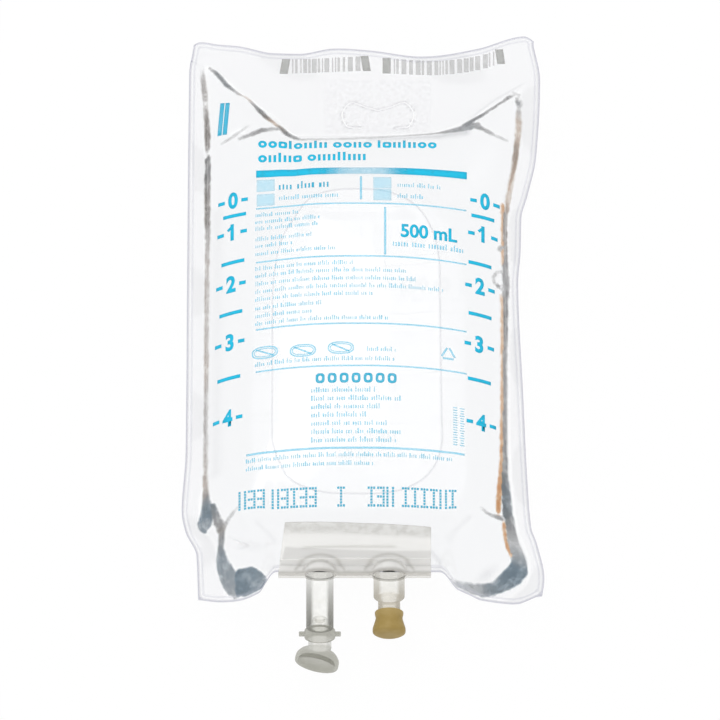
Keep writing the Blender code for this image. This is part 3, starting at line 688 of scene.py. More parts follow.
def smooth_run(points, steps):
    """A smooth line through a few (a, b) points, with so many steps from each to the next."""
    points = np.array(points)
    numbers = np.arange(len(points))
    at = np.linspace(0, len(points) - 1, steps * (len(points) - 1) + 1)
    return np.column_stack([through(np.column_stack([numbers, points[:, k]]), at) for k in (0, 1)])


def slit_line():
    right = smooth_run(SLIT, SLIT_STEPS)
    return np.vstack([right[:0:-1] * (-1, 1), right]) + (HANGER_X, HANGER_Y)


def haze_field(x, y):
    """How much grey lies on the film at a point: painted shade, and over the welds partly their own tone."""
    grey_and_shade = WELD_GREY * ease(-rim_distance(x, y) / 1.5)
    slit_row = [(px * 1000, py * 1000, SLIT_SHADE_HALF_WIDTH, SLIT_SHADE) for px, py in slit_line()]
    for row in (*FAINT_SHADES, slit_row):
        for away, (half, darkness) in abreast(x, y, row):
            grey_and_shade = np.maximum(grey_and_shade, darkness * np.exp(-((away / half) ** 2)))
    return grey_and_shade


def hanger_slit():
    """A thin wall along the slit of the hanger flap, which is die-cut through both sheets."""
    form = bmesh.new()
    verts = [form.verts.new((x, y, SEAM_HEIGHT - SLIT_CUT / 2)) for x, y in slit_line()]
    edges = [form.edges.new(pair) for pair in zip(verts, verts[1:])]
    raised = bmesh.ops.extrude_edge_only(form, edges=edges)["geom"]
    tops = [item for item in raised if isinstance(item, bmesh.types.BMVert)]
    bmesh.ops.translate(form, verts=tops, vec=(0, 0, SLIT_CUT))
    cutter = finished("hanger_slit", form)
    wall = cutter.modifiers.new("width", "SOLIDIFY")
    wall.thickness = SLIT_WIDTH
    wall.offset = 0
    return cutter


def make_film(name, replaced, side, finish, slit):
    """The front sheet, with a side of 1, or the back sheet, with a side of -1."""
    left = np.linspace(-1, 0, MARGIN_COLUMNS + 1)[:-1]
    right = np.linspace(1, 2, MARGIN_COLUMNS + 1)[1:]
    head = np.linspace(1, 2, HEAD_ROWS + 1)[1:]
    columns = np.concatenate([left, crowded_ends(FILM_COLUMNS), right])
    rows = np.concatenate([[-1, -0.5], crowded_ends(FILM_ROWS), head])
    form, verts = sheet(len(columns), len(rows))
    x, y = film_place(*np.meshgrid(columns, rows))
    rise = front_rise(x, y) if side > 0 else back_rise(x, y)
    place_all(verts, x, y, weld_height(x, y) + side * (WELD_GAP / 2 + rise))
    in_order(form, verts)
    film = finished(name, form, finish)
    if film.data.polygons[0].normal.z * side < 0:
        film.data.flip_normals()
    beside = np.minimum(x - left_edge(y), right_edge(y) - x)
    edge = np.minimum(beside, np.minimum(head_edge(x) - y, y - foot_edge(x))) * 1000
    patch_x = ease((LAND_HALF_WIDTH - np.abs(x - HANGER_X)) / LAND_FADE)
    patch_y = ease((LAND_HALF_DEPTH - np.abs(y - HANGER_Y - LAND_SHIFT)) / LAND_FADE)
    names = ("stroke", "dark", "warm", "grey_and_shade", "edge", "land")
    for title, values in zip(names, (*stroke_fields(x, y), haze_field(x, y), edge, patch_x * patch_y)):
        attribute(film, title, values)
    skin = film.modifiers.new("thickness", "SOLIDIFY")
    skin.thickness = FILM_THICKNESS
    skin.offset = 1
    cut = film.modifiers.new("slit", "BOOLEAN")
    cut.object = slit
    cut.solver = "MANIFOLD"
    baked(film)
    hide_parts(replaced)
    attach(film, "bag")


slit = hanger_slit()
make_film("front_sheet", "front_film", 1, film_finish("clear_film_front", True, 1.45), slit)
make_film("back_sheet", "back_film", -1, film_finish("clear_film_back", False, 1.15), slit)
bpy.data.objects.remove(slit)


# The saline. Clear water that fills the pillow up to the air bubble, which lies under the front
# sheet as a flat oval, with a faint grey line of painted shade along its shore.
SALINE_CLEARANCE = 0.0004
BUBBLE_DEPTH = 0.0052
SALINE_COLUMNS = 90
SALINE_ROWS = 130
LEAST_SHORE_SLOPE = 0.08
FAR_FROM_SHORE = 99

clear_saline, tree = new_material("clear_saline")
path = node(tree, "ShaderNodeLightPath")
lighting = maths(tree, "MAXIMUM", path.outputs["Is Shadow Ray"], path.outputs["Is Diffuse Ray"])
water = node(tree, "ShaderNodeBsdfGlass", Color=(0.996, 0.998, 1, 1), Roughness=0.0, IOR=1.333)
passing = node(tree, "ShaderNodeBsdfTransparent", Color=(0.97, 0.975, 0.98, 1))
shallow = node(tree, "ShaderNodeBsdfTransparent", Color=(0.996, 0.998, 1, 1))
# A faint grey ring of painted shade along the bubble's shore.
band = smooth_step(tree, maths(tree, "ABSOLUTE", field(tree, "shore")), 0.10, 0.55, 0.42, 0.0)
ring = node(tree, "ShaderNodeBsdfTransparent", Color=(0.66, 0.655, 0.70, 1))
deep = smooth_step(tree, field(tree, "deep"), 5.0, 18.0, 0.0, 1.0)
outward = node(tree, "ShaderNodeNewGeometry").outputs["Normal"]
upright = node(tree, "ShaderNodeSeparateXYZ", i0=outward).outputs[2]
level_part = smooth_step(tree, maths(tree, "ABSOLUTE", upright), 0.78, 0.93, 0.0, 1.0)
deep = maths(tree, "MULTIPLY", deep, level_part)
wet = mixed(tree, band, mixed(tree, deep, shallow, water), ring)
surface(tree, mixed(tree, lighting, wet, passing))


def inside_of(x, y, rise):
    lean_x, lean_y, stretch = slope(x, y, rise)
    inward = SALINE_CLEARANCE / stretch
    return x + lean_x * inward, y + lean_y * inward, rise(x, y) - inward


columns = crowded_ends(SALINE_COLUMNS)[1:-1]
rows = crowded_ends(SALINE_ROWS)[1:-1]
x, y = film_place(*np.meshgrid(columns, rows))
form, top = sheet(len(columns), len(rows))
level = SEAM_HEIGHT + WELD_GAP / 2 + FRONT_RISE - BUBBLE_DEPTH
raised = bmesh.ops.extrude_face_region(form, geom=form.faces[:], use_keep_orig=True)["geom"]
copies = [item for item in raised if isinstance(item, bmesh.types.BMVert)]
copy_at = {tuple(round(c, 6) for c in copy.co): copy for copy in copies}
bottom = [copy_at[tuple(round(c, 6) for c in vert.co)] for vert in top.flat]
bottom = np.array(bottom, object).reshape(top.shape)
for verts, rise, side in ((top, front_rise, 1), (bottom, back_rise, -1)):
    fx, fy, fz = inside_of(x, y, rise)
    height = SEAM_HEIGHT + side * (WELD_GAP / 2 + fz)
    place_all(verts, fx, fy, np.minimum(height, level))
    if side > 0:
        lean_x, lean_y, _ = slope(x, y, front_rise)
        away = (height - level) * 1000 / np.maximum(np.hypot(lean_x, lean_y), LEAST_SHORE_SLOPE)
        shore = dict(zip(verts.flat, away.flat))
bmesh.ops.recalc_face_normals(form, faces=form.faces)
inward = np.minimum(np.minimum(x - left_wet(y), right_wet(y) - x), head_distance(x, y))
inward = np.minimum(inward, (y - foot_wet(x)) / 2) * 1000
depth_of = dict(zip([*top.flat, *bottom.flat], [*inward.flat, *inward.flat]))
from_shore = [shore.get(vert, FAR_FROM_SHORE) for vert in form.verts]
from_rim = [depth_of[vert] for vert in form.verts]
saline = finished("saline_fill", form, clear_saline)
attribute(saline, "shore", from_shore)
attribute(saline, "deep", from_rim)
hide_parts("saline")
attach(saline, "bag")


# The port boot. One flexible moulding of milky vinyl that grips the foot of the pillow front and
# back, welded along a knurled band, with a half-round shoulder over each port.
BOOT_LIP = 0.0028
BOOT_FILLET = 0.0008
BOOT_LEAN = 0.11
SOCKET_LENGTH = 0.0080
SOCKET_WALL = 0.0009
SOCKET_FILLET = 0.0006
SET_PORT_X = -0.0151
SET_TUBE_DIAMETER = 0.0099
ADDITIVE_PORT_X = 0.0100
ADDITIVE_TUBE_DIAMETER = 0.0113
PORT_INSERTION = 0.0040
PORT_INNER_Y = BOOT_EDGE_Y + PORT_INSERTION
BOOT_COLUMNS = 150
BOOT_ROWS = 46
BOOT_ROW_SPREAD = 0.8
BOOT_ROUND_STEPS = 6
BAND_TILT = 0.028
BAND_START_Y = -0.0866
BAND_FULL_Y = -0.0850
RIDGE_RADII = (0.0036, 0.0052)
RIDGE_SQUASH = 0.57
RIDGE_HALF_WIDTH = 0.0004
RIDGE_HEIGHT = 0.00025
RIDGE_SHADE = 0.55
CROSS_RIDGE_X = -0.0045
CROSS_RIDGE_Y = -0.0894
CROSS_RIDGE_REACH = 0.0185
CROSS_RIDGE_FADE = 0.003
EDGE_SHADE_DEPTH = 0.0018
EDGE_SHADE = 0.95
HOLE_START = -0.004
TURN_STEPS = 72
CORNER_STEPS = 4

milky_vinyl, tree = new_material("milky_vinyl")
place = node(tree, "ShaderNodeTexCoord").outputs["Object"]
spot = node(tree, "ShaderNodeSeparateXYZ", i0=place)
tall = maths(tree, "ADD", spot.outputs[1], maths(tree, "MULTIPLY", spot.outputs[0], BAND_TILT))
facing = node(tree, "ShaderNodeLayerWeight", Blend=0.5).outputs["Facing"]
grain = noise(tree, 480.0, 3.0, 0.6)
band = smooth_step(tree, tall, BAND_START_Y, BAND_FULL_Y, 0.0, 1.0)
knurl = maths(tree, "MULTIPLY", band, smooth_step(tree, grain, 0.40, 0.62, 0.45, 1.0))
skin = blended(tree, knurl, (1.0, 0.996, 0.982, 1), (0.68, 0.675, 0.65, 1))
# Painted shade on the ridges round the ports, the crease across the boot and its lower edge.
skin = blended(tree, field(tree, "line"), skin, (0.56, 0.545, 0.51, 1))
skin = blended(tree, smooth_step(tree, facing, 0.45, 0.95, 0.0, 1.0), skin, (0.72, 0.70, 0.67, 1))
bump = node(tree, "ShaderNodeBump", Height=knurl, Strength=0.4, Distance=0.0002).outputs[0]
vinyl = node(tree, "ShaderNodeBsdfPrincipled", Base_Color=skin, Roughness=0.34, Normal=bump)
open_part = node(tree, "ShaderNodeBsdfTransparent", Color=(0.99, 0.985, 0.97, 1))
share = smooth_step(tree, facing, 0.0, 0.8, 0.56, 0.84)
share = maths(tree, "ADD", share, maths(tree, "MULTIPLY", knurl, 0.20), clamp=True)
lower = maths(tree, "MULTIPLY", field(tree, "under"), -0.70)
share = maths(tree, "MULTIPLY", share, maths(tree, "ADD", lower, 1.0))
surface(tree, mixed(tree, share, open_part, vinyl))


def smooth_max(a, b, softness):
    return (a + b + np.sqrt((a - b) ** 2 + softness**2)) / 2


def socket(x, y, centre, radius):
    run = np.clip((y - PORT_INNER_Y) / (SOCKET_LENGTH - PORT_INSERTION), 0, 1)
    reach = (radius + SOCKET_WALL + FIT_GAP) ** 2 * (1 - run**2) - (x - centre) ** 2
    return np.sqrt(np.maximum(reach, 0))


def ridges(x, y):
    """0 to 1 on the concentric ridges round the root of each port and the crease across the boot."""
    ridge = np.zeros(np.shape(x))
    for centre in (SET_PORT_X, ADDITIVE_PORT_X):
        away = np.hypot((x - centre) * RIDGE_SQUASH, y - BOOT_EDGE_Y)
        for radius in RIDGE_RADII:
            ridge = ridge + np.exp(-(((away - radius) / RIDGE_HALF_WIDTH) ** 2))
    inside = ease((CROSS_RIDGE_REACH - np.abs(x - CROSS_RIDGE_X)) / CROSS_RIDGE_FADE)
    return np.minimum(1, ridge + inside * np.exp(-(((y - CROSS_RIDGE_Y) / RIDGE_HALF_WIDTH) ** 2)))


def boot_rise(x, y, rise):
    shell = (FILM_THICKNESS + FIT_GAP + BOOT_WALL) * slope(x, y, rise)[2]
    body = smooth_max(rise(x, y) + shell + WELD_GAP / 2, BOOT_LIP, BOOT_FILLET)
    body = smooth_max(body, socket(x, y, SET_PORT_X, SET_TUBE_DIAMETER / 2), SOCKET_FILLET)
    return smooth_max(body, socket(x, y, ADDITIVE_PORT_X, ADDITIVE_TUBE_DIAMETER / 2), SOCKET_FILLET)


def plain_front(x, y):
    return FRONT_RISE * fullness(x, y)


rounding = BOOT_FILLET / BOOT_DEPTH
drops = rounding + (1 - rounding) * (1 - np.linspace(0, 1, BOOT_ROWS + 1) ** BOOT_ROW_SPREAD)
turns = np.radians(np.linspace(0, 90, BOOT_ROUND_STEPS + 1)[1:])
tucked = np.concatenate([np.zeros(len(drops)), BOOT_FILLET * (1 - np.cos(turns))])[:, None]
drops = np.concatenate([drops, rounding * (1 - np.sin(turns))])
shares, drop = np.meshgrid(np.linspace(0, 1, BOOT_COLUMNS + 1), drops)
x = BOOT_X + BOOT_WIDTH * (shares - 0.5) - BOOT_FLARE * (1 - shares) * (1 - drop)
y = BOOT_EDGE_Y + BOOT_DEPTH * drop * (1 - BOOT_LEAN * shares * drop)
front = SEAM_HEIGHT + boot_rise(x, y, plain_front) + RIDGE_HEIGHT * ridges(x, y) - tucked
back = SEAM_HEIGHT - boot_rise(x, y, back_rise) + tucked
x = np.vstack([x, x[-1:], x[::-1]])
y = np.vstack([y, y[-1:], y[::-1]])
z = np.vstack([front, (front[-1:] + back[-1:]) / 2, back[::-1]])
form, verts = sheet(x.shape[1], x.shape[0])
place_all(verts, x, y, z)
in_order(form, verts)
boot = finished("boot_moulding", form, milky_vinyl)
if boot.data.polygons[0].normal.z < 0:
    boot.data.flip_normals()
# Painted shade along the boot's lower edge, and on the ridges of its front.
edge_shade = EDGE_SHADE * ease((BOOT_EDGE_Y + EDGE_SHADE_DEPTH - y) / EDGE_SHADE_DEPTH)
on_front = np.arange(x.shape[0])[:, None] < len(drops)
attribute(boot, "line", np.maximum(RIDGE_SHADE * ridges(x, y) * on_front, edge_shade))
attribute(boot, "under", np.broadcast_to(~on_front, x.shape))
wall = boot.modifiers.new("wall", "SOLIDIFY")
wall.thickness = BOOT_WALL
wall.offset = -1


def softened(outline, radius):
    """The outline with each of its inner corners rounded off."""
    points = [Vector(point) for point in outline]
    smooth = [points[0]]
    for before, corner, after in zip(points, points[1:], points[2:]):
        legs = [other - corner for other in (before, after)]
        start, end = (corner + leg * min(0.45, radius / leg.length) for leg in legs)
        for k in range(CORNER_STEPS + 1):
            u = k / CORNER_STEPS
            smooth.append((1 - u) ** 2 * start + 2 * u * (1 - u) * corner + u * u * end)
    return [*smooth, points[-1]]


def turned(outline, place, turn=0.0):
    """A form spun about Y from (radius, place along Y) points, then tilted about Z and put in place."""
    form = bmesh.new()
    verts = [form.verts.new((radius, y, 0)) for radius, y in outline]
    pairs = list(zip(verts, verts[1:]))
    if min(radius for radius, _ in outline) > 0:
        pairs.append((verts[-1], verts[0]))
    edges = [form.edges.new(pair) for pair in pairs]
    bmesh.ops.spin(
        form, geom=verts + edges, cent=(0, 0, 0), axis=(0, 1, 0), dvec=(0, 0, 0),
        angle=2 * math.pi, steps=TURN_STEPS, use_merge=True,
    )
    bmesh.ops.remove_doubles(form, verts=form.verts, dist=1e-6)
    bmesh.ops.recalc_face_normals(form, faces=form.faces)
    bmesh.ops.rotate(form, verts=form.verts, matrix=Matrix.Rotation(turn, 3, "Z"))
    bmesh.ops.translate(form, verts=form.verts, vec=place)
    return form


def combined(obj, tools, operation):
    for tool in tools:
        cut = obj.modifiers.new(operation.lower(), "BOOLEAN")
        cut.operation = operation
        cut.object = tool
        cut.solver = "MANIFOLD"
    baked(obj)
    for tool in tools:
        bpy.data.objects.remove(tool)


holes = []
for centre, diameter in ((SET_PORT_X, SET_TUBE_DIAMETER), (ADDITIVE_PORT_X, ADDITIVE_TUBE_DIAMETER)):
    radius = diameter / 2 + FIT_GAP
    outline = ((0, HOLE_START), (radius, HOLE_START), (radius, PORT_INSERTION), (0, PORT_INSERTION))
    holes.append(finished("port_hole", turned(outline, (centre, BOOT_EDGE_Y, SEAM_HEIGHT))))
combined(boot, holes, "DIFFERENCE")
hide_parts("port_boot")
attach(boot, "bag")


# The set port. An extruded tube of clear vinyl, with painted grey shade along its walls, and a thin
# diaphragm across its bore that the spike of the giving set pierces. It is let into the boot.
SET_TUBE_BORE = 0.0062
SET_TUBE_LENGTH = 0.0203
SET_TUBE_RIM = 0.0004
DIAPHRAGM_DEPTH = 0.0102
DIAPHRAGM_THICKNESS = 0.0006
SET_MOUTH_Y = BOOT_EDGE_Y - SET_TUBE_LENGTH


def clear_vinyl(name, middle, side, solid, sheen=0.22):
    """Vinyl in three tones: its middle, its sides in painted shade, and where it is thick. It is clear in a
    bore.
    """
    made, tree = new_material(name)
    cloud = noise(tree, 260.0, 3.0)
    facing = node(tree, "ShaderNodeLayerWeight", Blend=0.5).outputs["Facing"]
    # Painted shade on the sides, for the light that the wall bends where it turns away.
    tone = blended(tree, smooth_step(tree, facing, 0.13, 0.33, 0.0, 1.0), (*middle, 1), (*side, 1))
    tone = blended(tree, field(tree, "thick"), tone, (*solid, 1))
    tone = blended(tree, smooth_step(tree, cloud, 0.35, 0.65, 0.0, 0.16), tone, (0.50, 0.49, 0.46, 1))
    tone = blended(tree, field(tree, "bore"), tone, (0.995, 0.995, 0.99, 1))
    open_part = node(tree, "ShaderNodeBsdfTransparent", Color=tone)
    milk = node(tree, "ShaderNodeBsdfPrincipled", Base_Color=(0.92, 0.915, 0.89, 1), Roughness=0.22)
    share = smooth_step(tree, facing, 0.1, 0.9, sheen * 0.4, sheen)
    share = maths(tree, "MULTIPLY", share, rest_of(tree, field(tree, "bore")))
    surface(tree, mixed(tree, share, open_part, milk))
    return made


def mark_bore(obj, centre, radius):
    """Marks the faces of a bore along Y, inside a radius, the tube's end and what the boot holds."""
    x, y, z = np.array([v.co for v in obj.data.vertices]).T
    bore = np.hypot(x - centre, z - SEAM_HEIGHT) < radius + 0.0002
    attribute(obj, "bore", np.maximum(bore | (y > BOOT_EDGE_Y + 0.0005), 0.6 * (y < y.min() + 0.0003)))


set_tube_vinyl = clear_vinyl("set_tube_vinyl", (1.0, 1.0, 0.99), (0.35, 0.35, 0.325), (0.93, 0.92, 0.90))
outer, bore = SET_TUBE_DIAMETER / 2, SET_TUBE_BORE / 2
mouth = -SET_TUBE_LENGTH
skin = mouth + DIAPHRAGM_DEPTH
rim = SET_TUBE_RIM
outline = (
    (0, skin), (bore, skin), (bore, mouth + rim), (bore + rim, mouth), (outer - rim, mouth),
    (outer, mouth + rim), (outer, PORT_INSERTION), (bore, PORT_INSERTION),
    (bore, skin + DIAPHRAGM_THICKNESS), (0, skin + DIAPHRAGM_THICKNESS),
)
form = turned(softened(outline, 0.0004), (SET_PORT_X, BOOT_EDGE_Y, SEAM_HEIGHT))
set_tube = finished("set_tube", form, set_tube_vinyl)
mark_bore(set_tube, SET_PORT_X, bore)
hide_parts("set_port_tube")
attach(set_tube, "bag")


# The set port's protector. A moulded cap with a spigot in the tube's mouth, a collar with two
# wings against it, a clear neck and a milky bell that stands askew, to twist and pull off.
SPIGOT_LENGTH = 0.0042
SPIGOT_WALL = 0.0009
SPIGOT_HOLLOW = 0.0016
SPIGOT_LEAD_IN = 0.0010
COLLAR_DIAMETER = 0.0112
COLLAR_LENGTH = 0.0034
WING_SPAN = 0.0152
WING_THICKNESS = 0.0009
WING_WIDTH = 0.0036
NECK_DIAMETER = 0.0084
NECK_LENGTH = 0.0042
GRIP_DIAMETER = 0.0160
GRIP_LENGTH = 0.0062
GRIP_WALL = 0.0013
GRIP_HOLLOW = 0.0022
GRIP_OVERLAP = 0.0012
GRIP_TILT = math.radians(13)

cap_vinyl = clear_vinyl("cap_vinyl", (1.0, 0.985, 0.96), (0.62, 0.62, 0.59), (0.64, 0.64, 0.60), sheen=0.24)
spigot = SET_TUBE_BORE / 2 - FIT_GAP
inside = spigot - SPIGOT_WALL
collar, neck, flare = COLLAR_DIAMETER / 2, NECK_DIAMETER / 2, GRIP_DIAMETER / 2
collar_end = -FIT_GAP - COLLAR_LENGTH
neck_end = collar_end - NECK_LENGTH
outline = (
    (0, SPIGOT_LENGTH - SPIGOT_HOLLOW), (inside, SPIGOT_LENGTH - SPIGOT_HOLLOW), (inside, SPIGOT_LENGTH),
    (spigot - SPIGOT_LEAD_IN / 3, SPIGOT_LENGTH), (spigot, SPIGOT_LENGTH - SPIGOT_LEAD_IN),
    (spigot, -FIT_GAP), (collar, -FIT_GAP), (collar, collar_end), (neck, collar_end),
    (neck, collar_end - 0.0010), (neck, neck_end + 0.0015), (neck, neck_end), (0, neck_end),
)
form = turned(softened(outline, 0.0006), (SET_PORT_X, SET_MOUTH_Y, SEAM_HEIGHT))
cap = finished("pull_cap", form, cap_vinyl)
form = bmesh.new()
size = Matrix.Diagonal((WING_SPAN, WING_THICKNESS, WING_WIDTH, 1))
bmesh.ops.create_cube(form, size=1, matrix=size)
bmesh.ops.bevel(form, geom=form.edges, offset=0.0003, segments=3, affect="EDGES", profile=0.5)
middle = (SET_PORT_X, SET_MOUTH_Y - FIT_GAP - COLLAR_LENGTH / 2, SEAM_HEIGHT)
bmesh.ops.translate(form, verts=form.verts, vec=middle)
wings = finished("wings", form)
brim = flare - GRIP_WALL
root = neck - 0.0003
outline = (
    (0, GRIP_OVERLAP), (root, GRIP_OVERLAP), (root, 0), (flare * 0.80, -GRIP_LENGTH * 0.18),
    (flare, -GRIP_LENGTH * 0.52), (flare, -GRIP_LENGTH), (brim, -GRIP_LENGTH),
    (brim, GRIP_HOLLOW - GRIP_LENGTH), (0, GRIP_HOLLOW - GRIP_LENGTH),
)
form = turned(softened(outline, 0.0009), (SET_PORT_X, SET_MOUTH_Y + neck_end, SEAM_HEIGHT), turn=-GRIP_TILT)
combined(cap, [wings, finished("bell", form)], "UNION")
spots = np.array([v.co.y for v in cap.data.vertices]) - SET_MOUTH_Y
in_neck = ease((collar_end - spots) / 0.0010) * ease((spots - neck_end) / 0.0014)
attribute(cap, "thick", np.where(spots > 0.0001, 0, 1 - in_neck))
attribute(cap, "bore", np.where(spots > 0.0001, 0.75, 0.60 * in_neck))
cap.data.set_sharp_from_angle(angle=SHARP_ANGLE)
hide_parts("set_port_protector")
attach(cap, "protector")


# The additive port. A shorter, wider tube of milky vinyl with a shoulder down to a neck, and a thin
# end that stands inside the stopper.
ADDITIVE_TUBE_LENGTH = 0.0083
ADDITIVE_NECK_DIAMETER = 0.0080
ADDITIVE_NECK_LENGTH = 0.0052
ADDITIVE_SHOULDER = 0.0012
ADDITIVE_BORE = 0.0044
STOPPER_SPIGOT_DIAMETER = 0.0066
STOPPER_SPIGOT_LENGTH = 0.0046

additive_vinyl = clear_vinyl("additive_vinyl", (1.0, 0.996, 0.98), (0.67, 0.65, 0.60), (0.70, 0.65, 0.56))
outer, bore = ADDITIVE_TUBE_DIAMETER / 2, ADDITIVE_BORE / 2
neck, spigot = ADDITIVE_NECK_DIAMETER / 2, STOPPER_SPIGOT_DIAMETER / 2
shoulder_end = -ADDITIVE_TUBE_LENGTH - ADDITIVE_SHOULDER
neck_end = -ADDITIVE_TUBE_LENGTH - ADDITIVE_NECK_LENGTH
tip = neck_end - STOPPER_SPIGOT_LENGTH
outline = (
    (bore, PORT_INSERTION), (bore, tip), (spigot, tip), (spigot, neck_end), (neck, neck_end),
    (neck, shoulder_end), (outer, -ADDITIVE_TUBE_LENGTH), (outer, PORT_INSERTION),
)
form = turned(softened(outline, 0.0005), (ADDITIVE_PORT_X, BOOT_EDGE_Y, SEAM_HEIGHT))
additive_tube = finished("additive_tube", form, additive_vinyl)
spots = np.array([v.co.y for v in additive_tube.data.vertices]) - BOOT_EDGE_Y
at_shoulder = 0.5 * np.exp(-(((spots + ADDITIVE_TUBE_LENGTH + 0.0006) / 0.0009) ** 2))
attribute(additive_tube, "thick", np.maximum(at_shoulder, 0.45 * (spots < shoulder_end)))
mark_bore(additive_tube, ADDITIVE_PORT_X, bore)
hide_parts("additive_port_tube")
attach(additive_tube, "bag")


# The additive port's stopper. Tan rubber with a waist, pushed over the thin end of the port.
STOPPER_DIAMETER = 0.0120
STOPPER_WAIST = 0.0098
STOPPER_SHOULDER = 0.0104
STOPPER_LENGTH = 0.0092
STOPPER_TARGET_DIAMETER = 0.0064

tan_rubber, tree = new_material("tan_rubber")
place = node(tree, "ShaderNodeTexCoord").outputs["Object"]
cloud = noise(tree, 380.0, 4.0)
tall = node(tree, "ShaderNodeSeparateXYZ", i0=place).outputs[1]
cloud = maths(tree, "MULTIPLY", cloud, smooth_step(tree, tall, -0.1135, -0.1115, 1.6, 0.5), clamp=True)
tint = blended(tree, cloud, (0.395, 0.285, 0.100, 1), (0.315, 0.215, 0.052, 1))
rubber = node(tree, "ShaderNodeBsdfPrincipled", Base_Color=tint, Roughness=0.55)
surface(tree, rubber)
pocket = STOPPER_SPIGOT_DIAMETER / 2 + FIT_GAP
widest, waist = STOPPER_DIAMETER / 2, STOPPER_WAIST / 2
shoulder, target = STOPPER_SHOULDER / 2, STOPPER_TARGET_DIAMETER / 2
outline = (
    (0, -STOPPER_SPIGOT_LENGTH), (pocket, -STOPPER_SPIGOT_LENGTH), (pocket, 0), (shoulder, 0),
    (shoulder, -STOPPER_LENGTH * 0.11), (waist, -STOPPER_LENGTH * 0.22), (waist, -STOPPER_LENGTH * 0.32),
    (widest, -STOPPER_LENGTH * 0.70), (widest, -STOPPER_LENGTH * 0.88),
    ((widest + target) / 2, -STOPPER_LENGTH * 0.965), (target, -STOPPER_LENGTH), (0, -STOPPER_LENGTH),
)
seat = BOOT_EDGE_Y - ADDITIVE_TUBE_LENGTH - ADDITIVE_NECK_LENGTH - FIT_GAP
form = turned(softened(outline, 0.0006), (ADDITIVE_PORT_X, seat, SEAM_HEIGHT))
stopper = finished("rubber_stopper", form, tan_rubber)
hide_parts("additive_stopper")
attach(stopper, "bag")


# The print. Cyan ink laid on the front sheet: the filling scale down both sides, and between them
# a label of ruled lines, plain shapes and rows of small ticks. A grey pattern of bars of random
# width runs on the head weld.
INK_GAP = 0.00006
INK_THICKNESS = 0.00002
CYAN = (0.012, 0.49, 0.73)
PALE_CYAN = (0.01, 0.62, 0.90)
LABEL_LEFT = -38.4
LABEL_RIGHT = 38.2
RING_STEPS = 28
COMB_TEETH = 16
COMB_TOP = -39.0
COMB_PITCH = 0.95
# Rows of small print in mm: (left end, right end, y, height), or (y, right end) under one left end.
FIRST_ROWS = (
    (-29.8, -8.6, 42.6, 2.0), (13.3, 28.6, 47.2, 1.9), (13.3, 22.8, 42.4, 1.9), (11.6, 37.8, 22.7, 2.4),
)
SMALL_ROWS = (
    (36.3, -22), (33.5, -15.5), (30.8, -16), (26.6, -18), (23.9, -25), (20.8, -9), (14.9, -3),
    (12.1, 16), (9.0, 20), (6.0, 30), (3.0, 4), (-0.4, -14), (-3.4, -17), (-6.4, 10), (-22.2, 12),
)
LAST_ROWS = ((2.2, 12.6, -18.6, 1.7), (-41.7, 33.0, -58.9, 1.7), (-41.7, 4.0, -62.0, 1.7))
ADDRESS_LEFT = -18.0
ADDRESS_ROWS = ((-34.2, 5), (-37.4, 14), (-40.6, 7), (-43.8, 2), (-47.0, 9), (-50.2, 14), (-53.4, 13))


def bar(form, x, y, width, height, turn=0.0, slant=0.0):
    """A plain bar centred at (x, y) in mm, cut finely enough to follow the film."""
    cells_x = max(1, math.ceil(width / 2))
    cells_y = max(1, math.ceil(height / 2))
    place = Matrix.Translation((x, y, 0)) @ Matrix.Rotation(turn, 4, "Z")
    lean = Matrix.Identity(4)
    lean[0][1] = slant
    place = place @ lean @ Matrix.Diagonal((width / 2, height / 2, 1, 1))
    bmesh.ops.create_grid(form, x_segments=cells_x, y_segments=cells_y, size=1, matrix=place)


def ring_of(form, x, y, width, height, stroke, corner=1.0):
    """A rounded outline centred at (x, y) in mm."""
    rings = []
    for less in (0, stroke):
        ring = []
        for turn in np.linspace(0, 2 * math.pi, RING_STEPS, endpoint=False):
            c, s = math.cos(turn), math.sin(turn)
            ux = math.copysign(abs(c) ** corner, c) * (width / 2 - less)
            uy = math.copysign(abs(s) ** corner, s) * (height / 2 - less)
            ring.append(form.verts.new((x + ux, y + uy, 0)))
        rings.append(ring)
    for k in range(RING_STEPS):
        j = (k + 1) % RING_STEPS
        form.faces.new((rings[0][k], rings[0][j], rings[1][j], rings[1][k]))


def ticks(form, left, right, y, height, chance):
    """A row of small upright ticks in groups of uneven length."""
    pitch = height * 0.42
    x = left
    while x < right:
        for _ in range(chance.randint(3, 9)):
            if x > right:
                return
            tall = height * chance.choice((0.62, 0.62, 0.70, 1.0))
            bar(form, x, y - (height - tall) / 2, height * chance.choice((0.17, 0.20, 0.28)), tall)
            x += pitch
        x += pitch


def shapes(form, left, right, y, chance):
    """A row of plain round and upright shapes in groups, 4.2 mm tall at the most."""
    x = left + 0.5
    while x < right:
        for _ in range(chance.randint(4, 8)):
            if x > right:
                return
            kind = chance.choice("blrrd")
            if kind == "b":
                bar(form, x, y, 1.0, 4.2)
                x += 1.9
            elif kind == "l":
                bar(form, x, y - 0.5, 1.0, 3.1)
                bar(form, x + 1.8, y - 0.5, 1.0, 3.1)
                x += 3.6
            else:
                corner = 1.0 if kind == "r" else 0.5
                ring_of(form, x + 1.0, y - 0.5, 3.2, 3.2, 1.05, corner=corner)
                x += 3.7
        x += 1.5


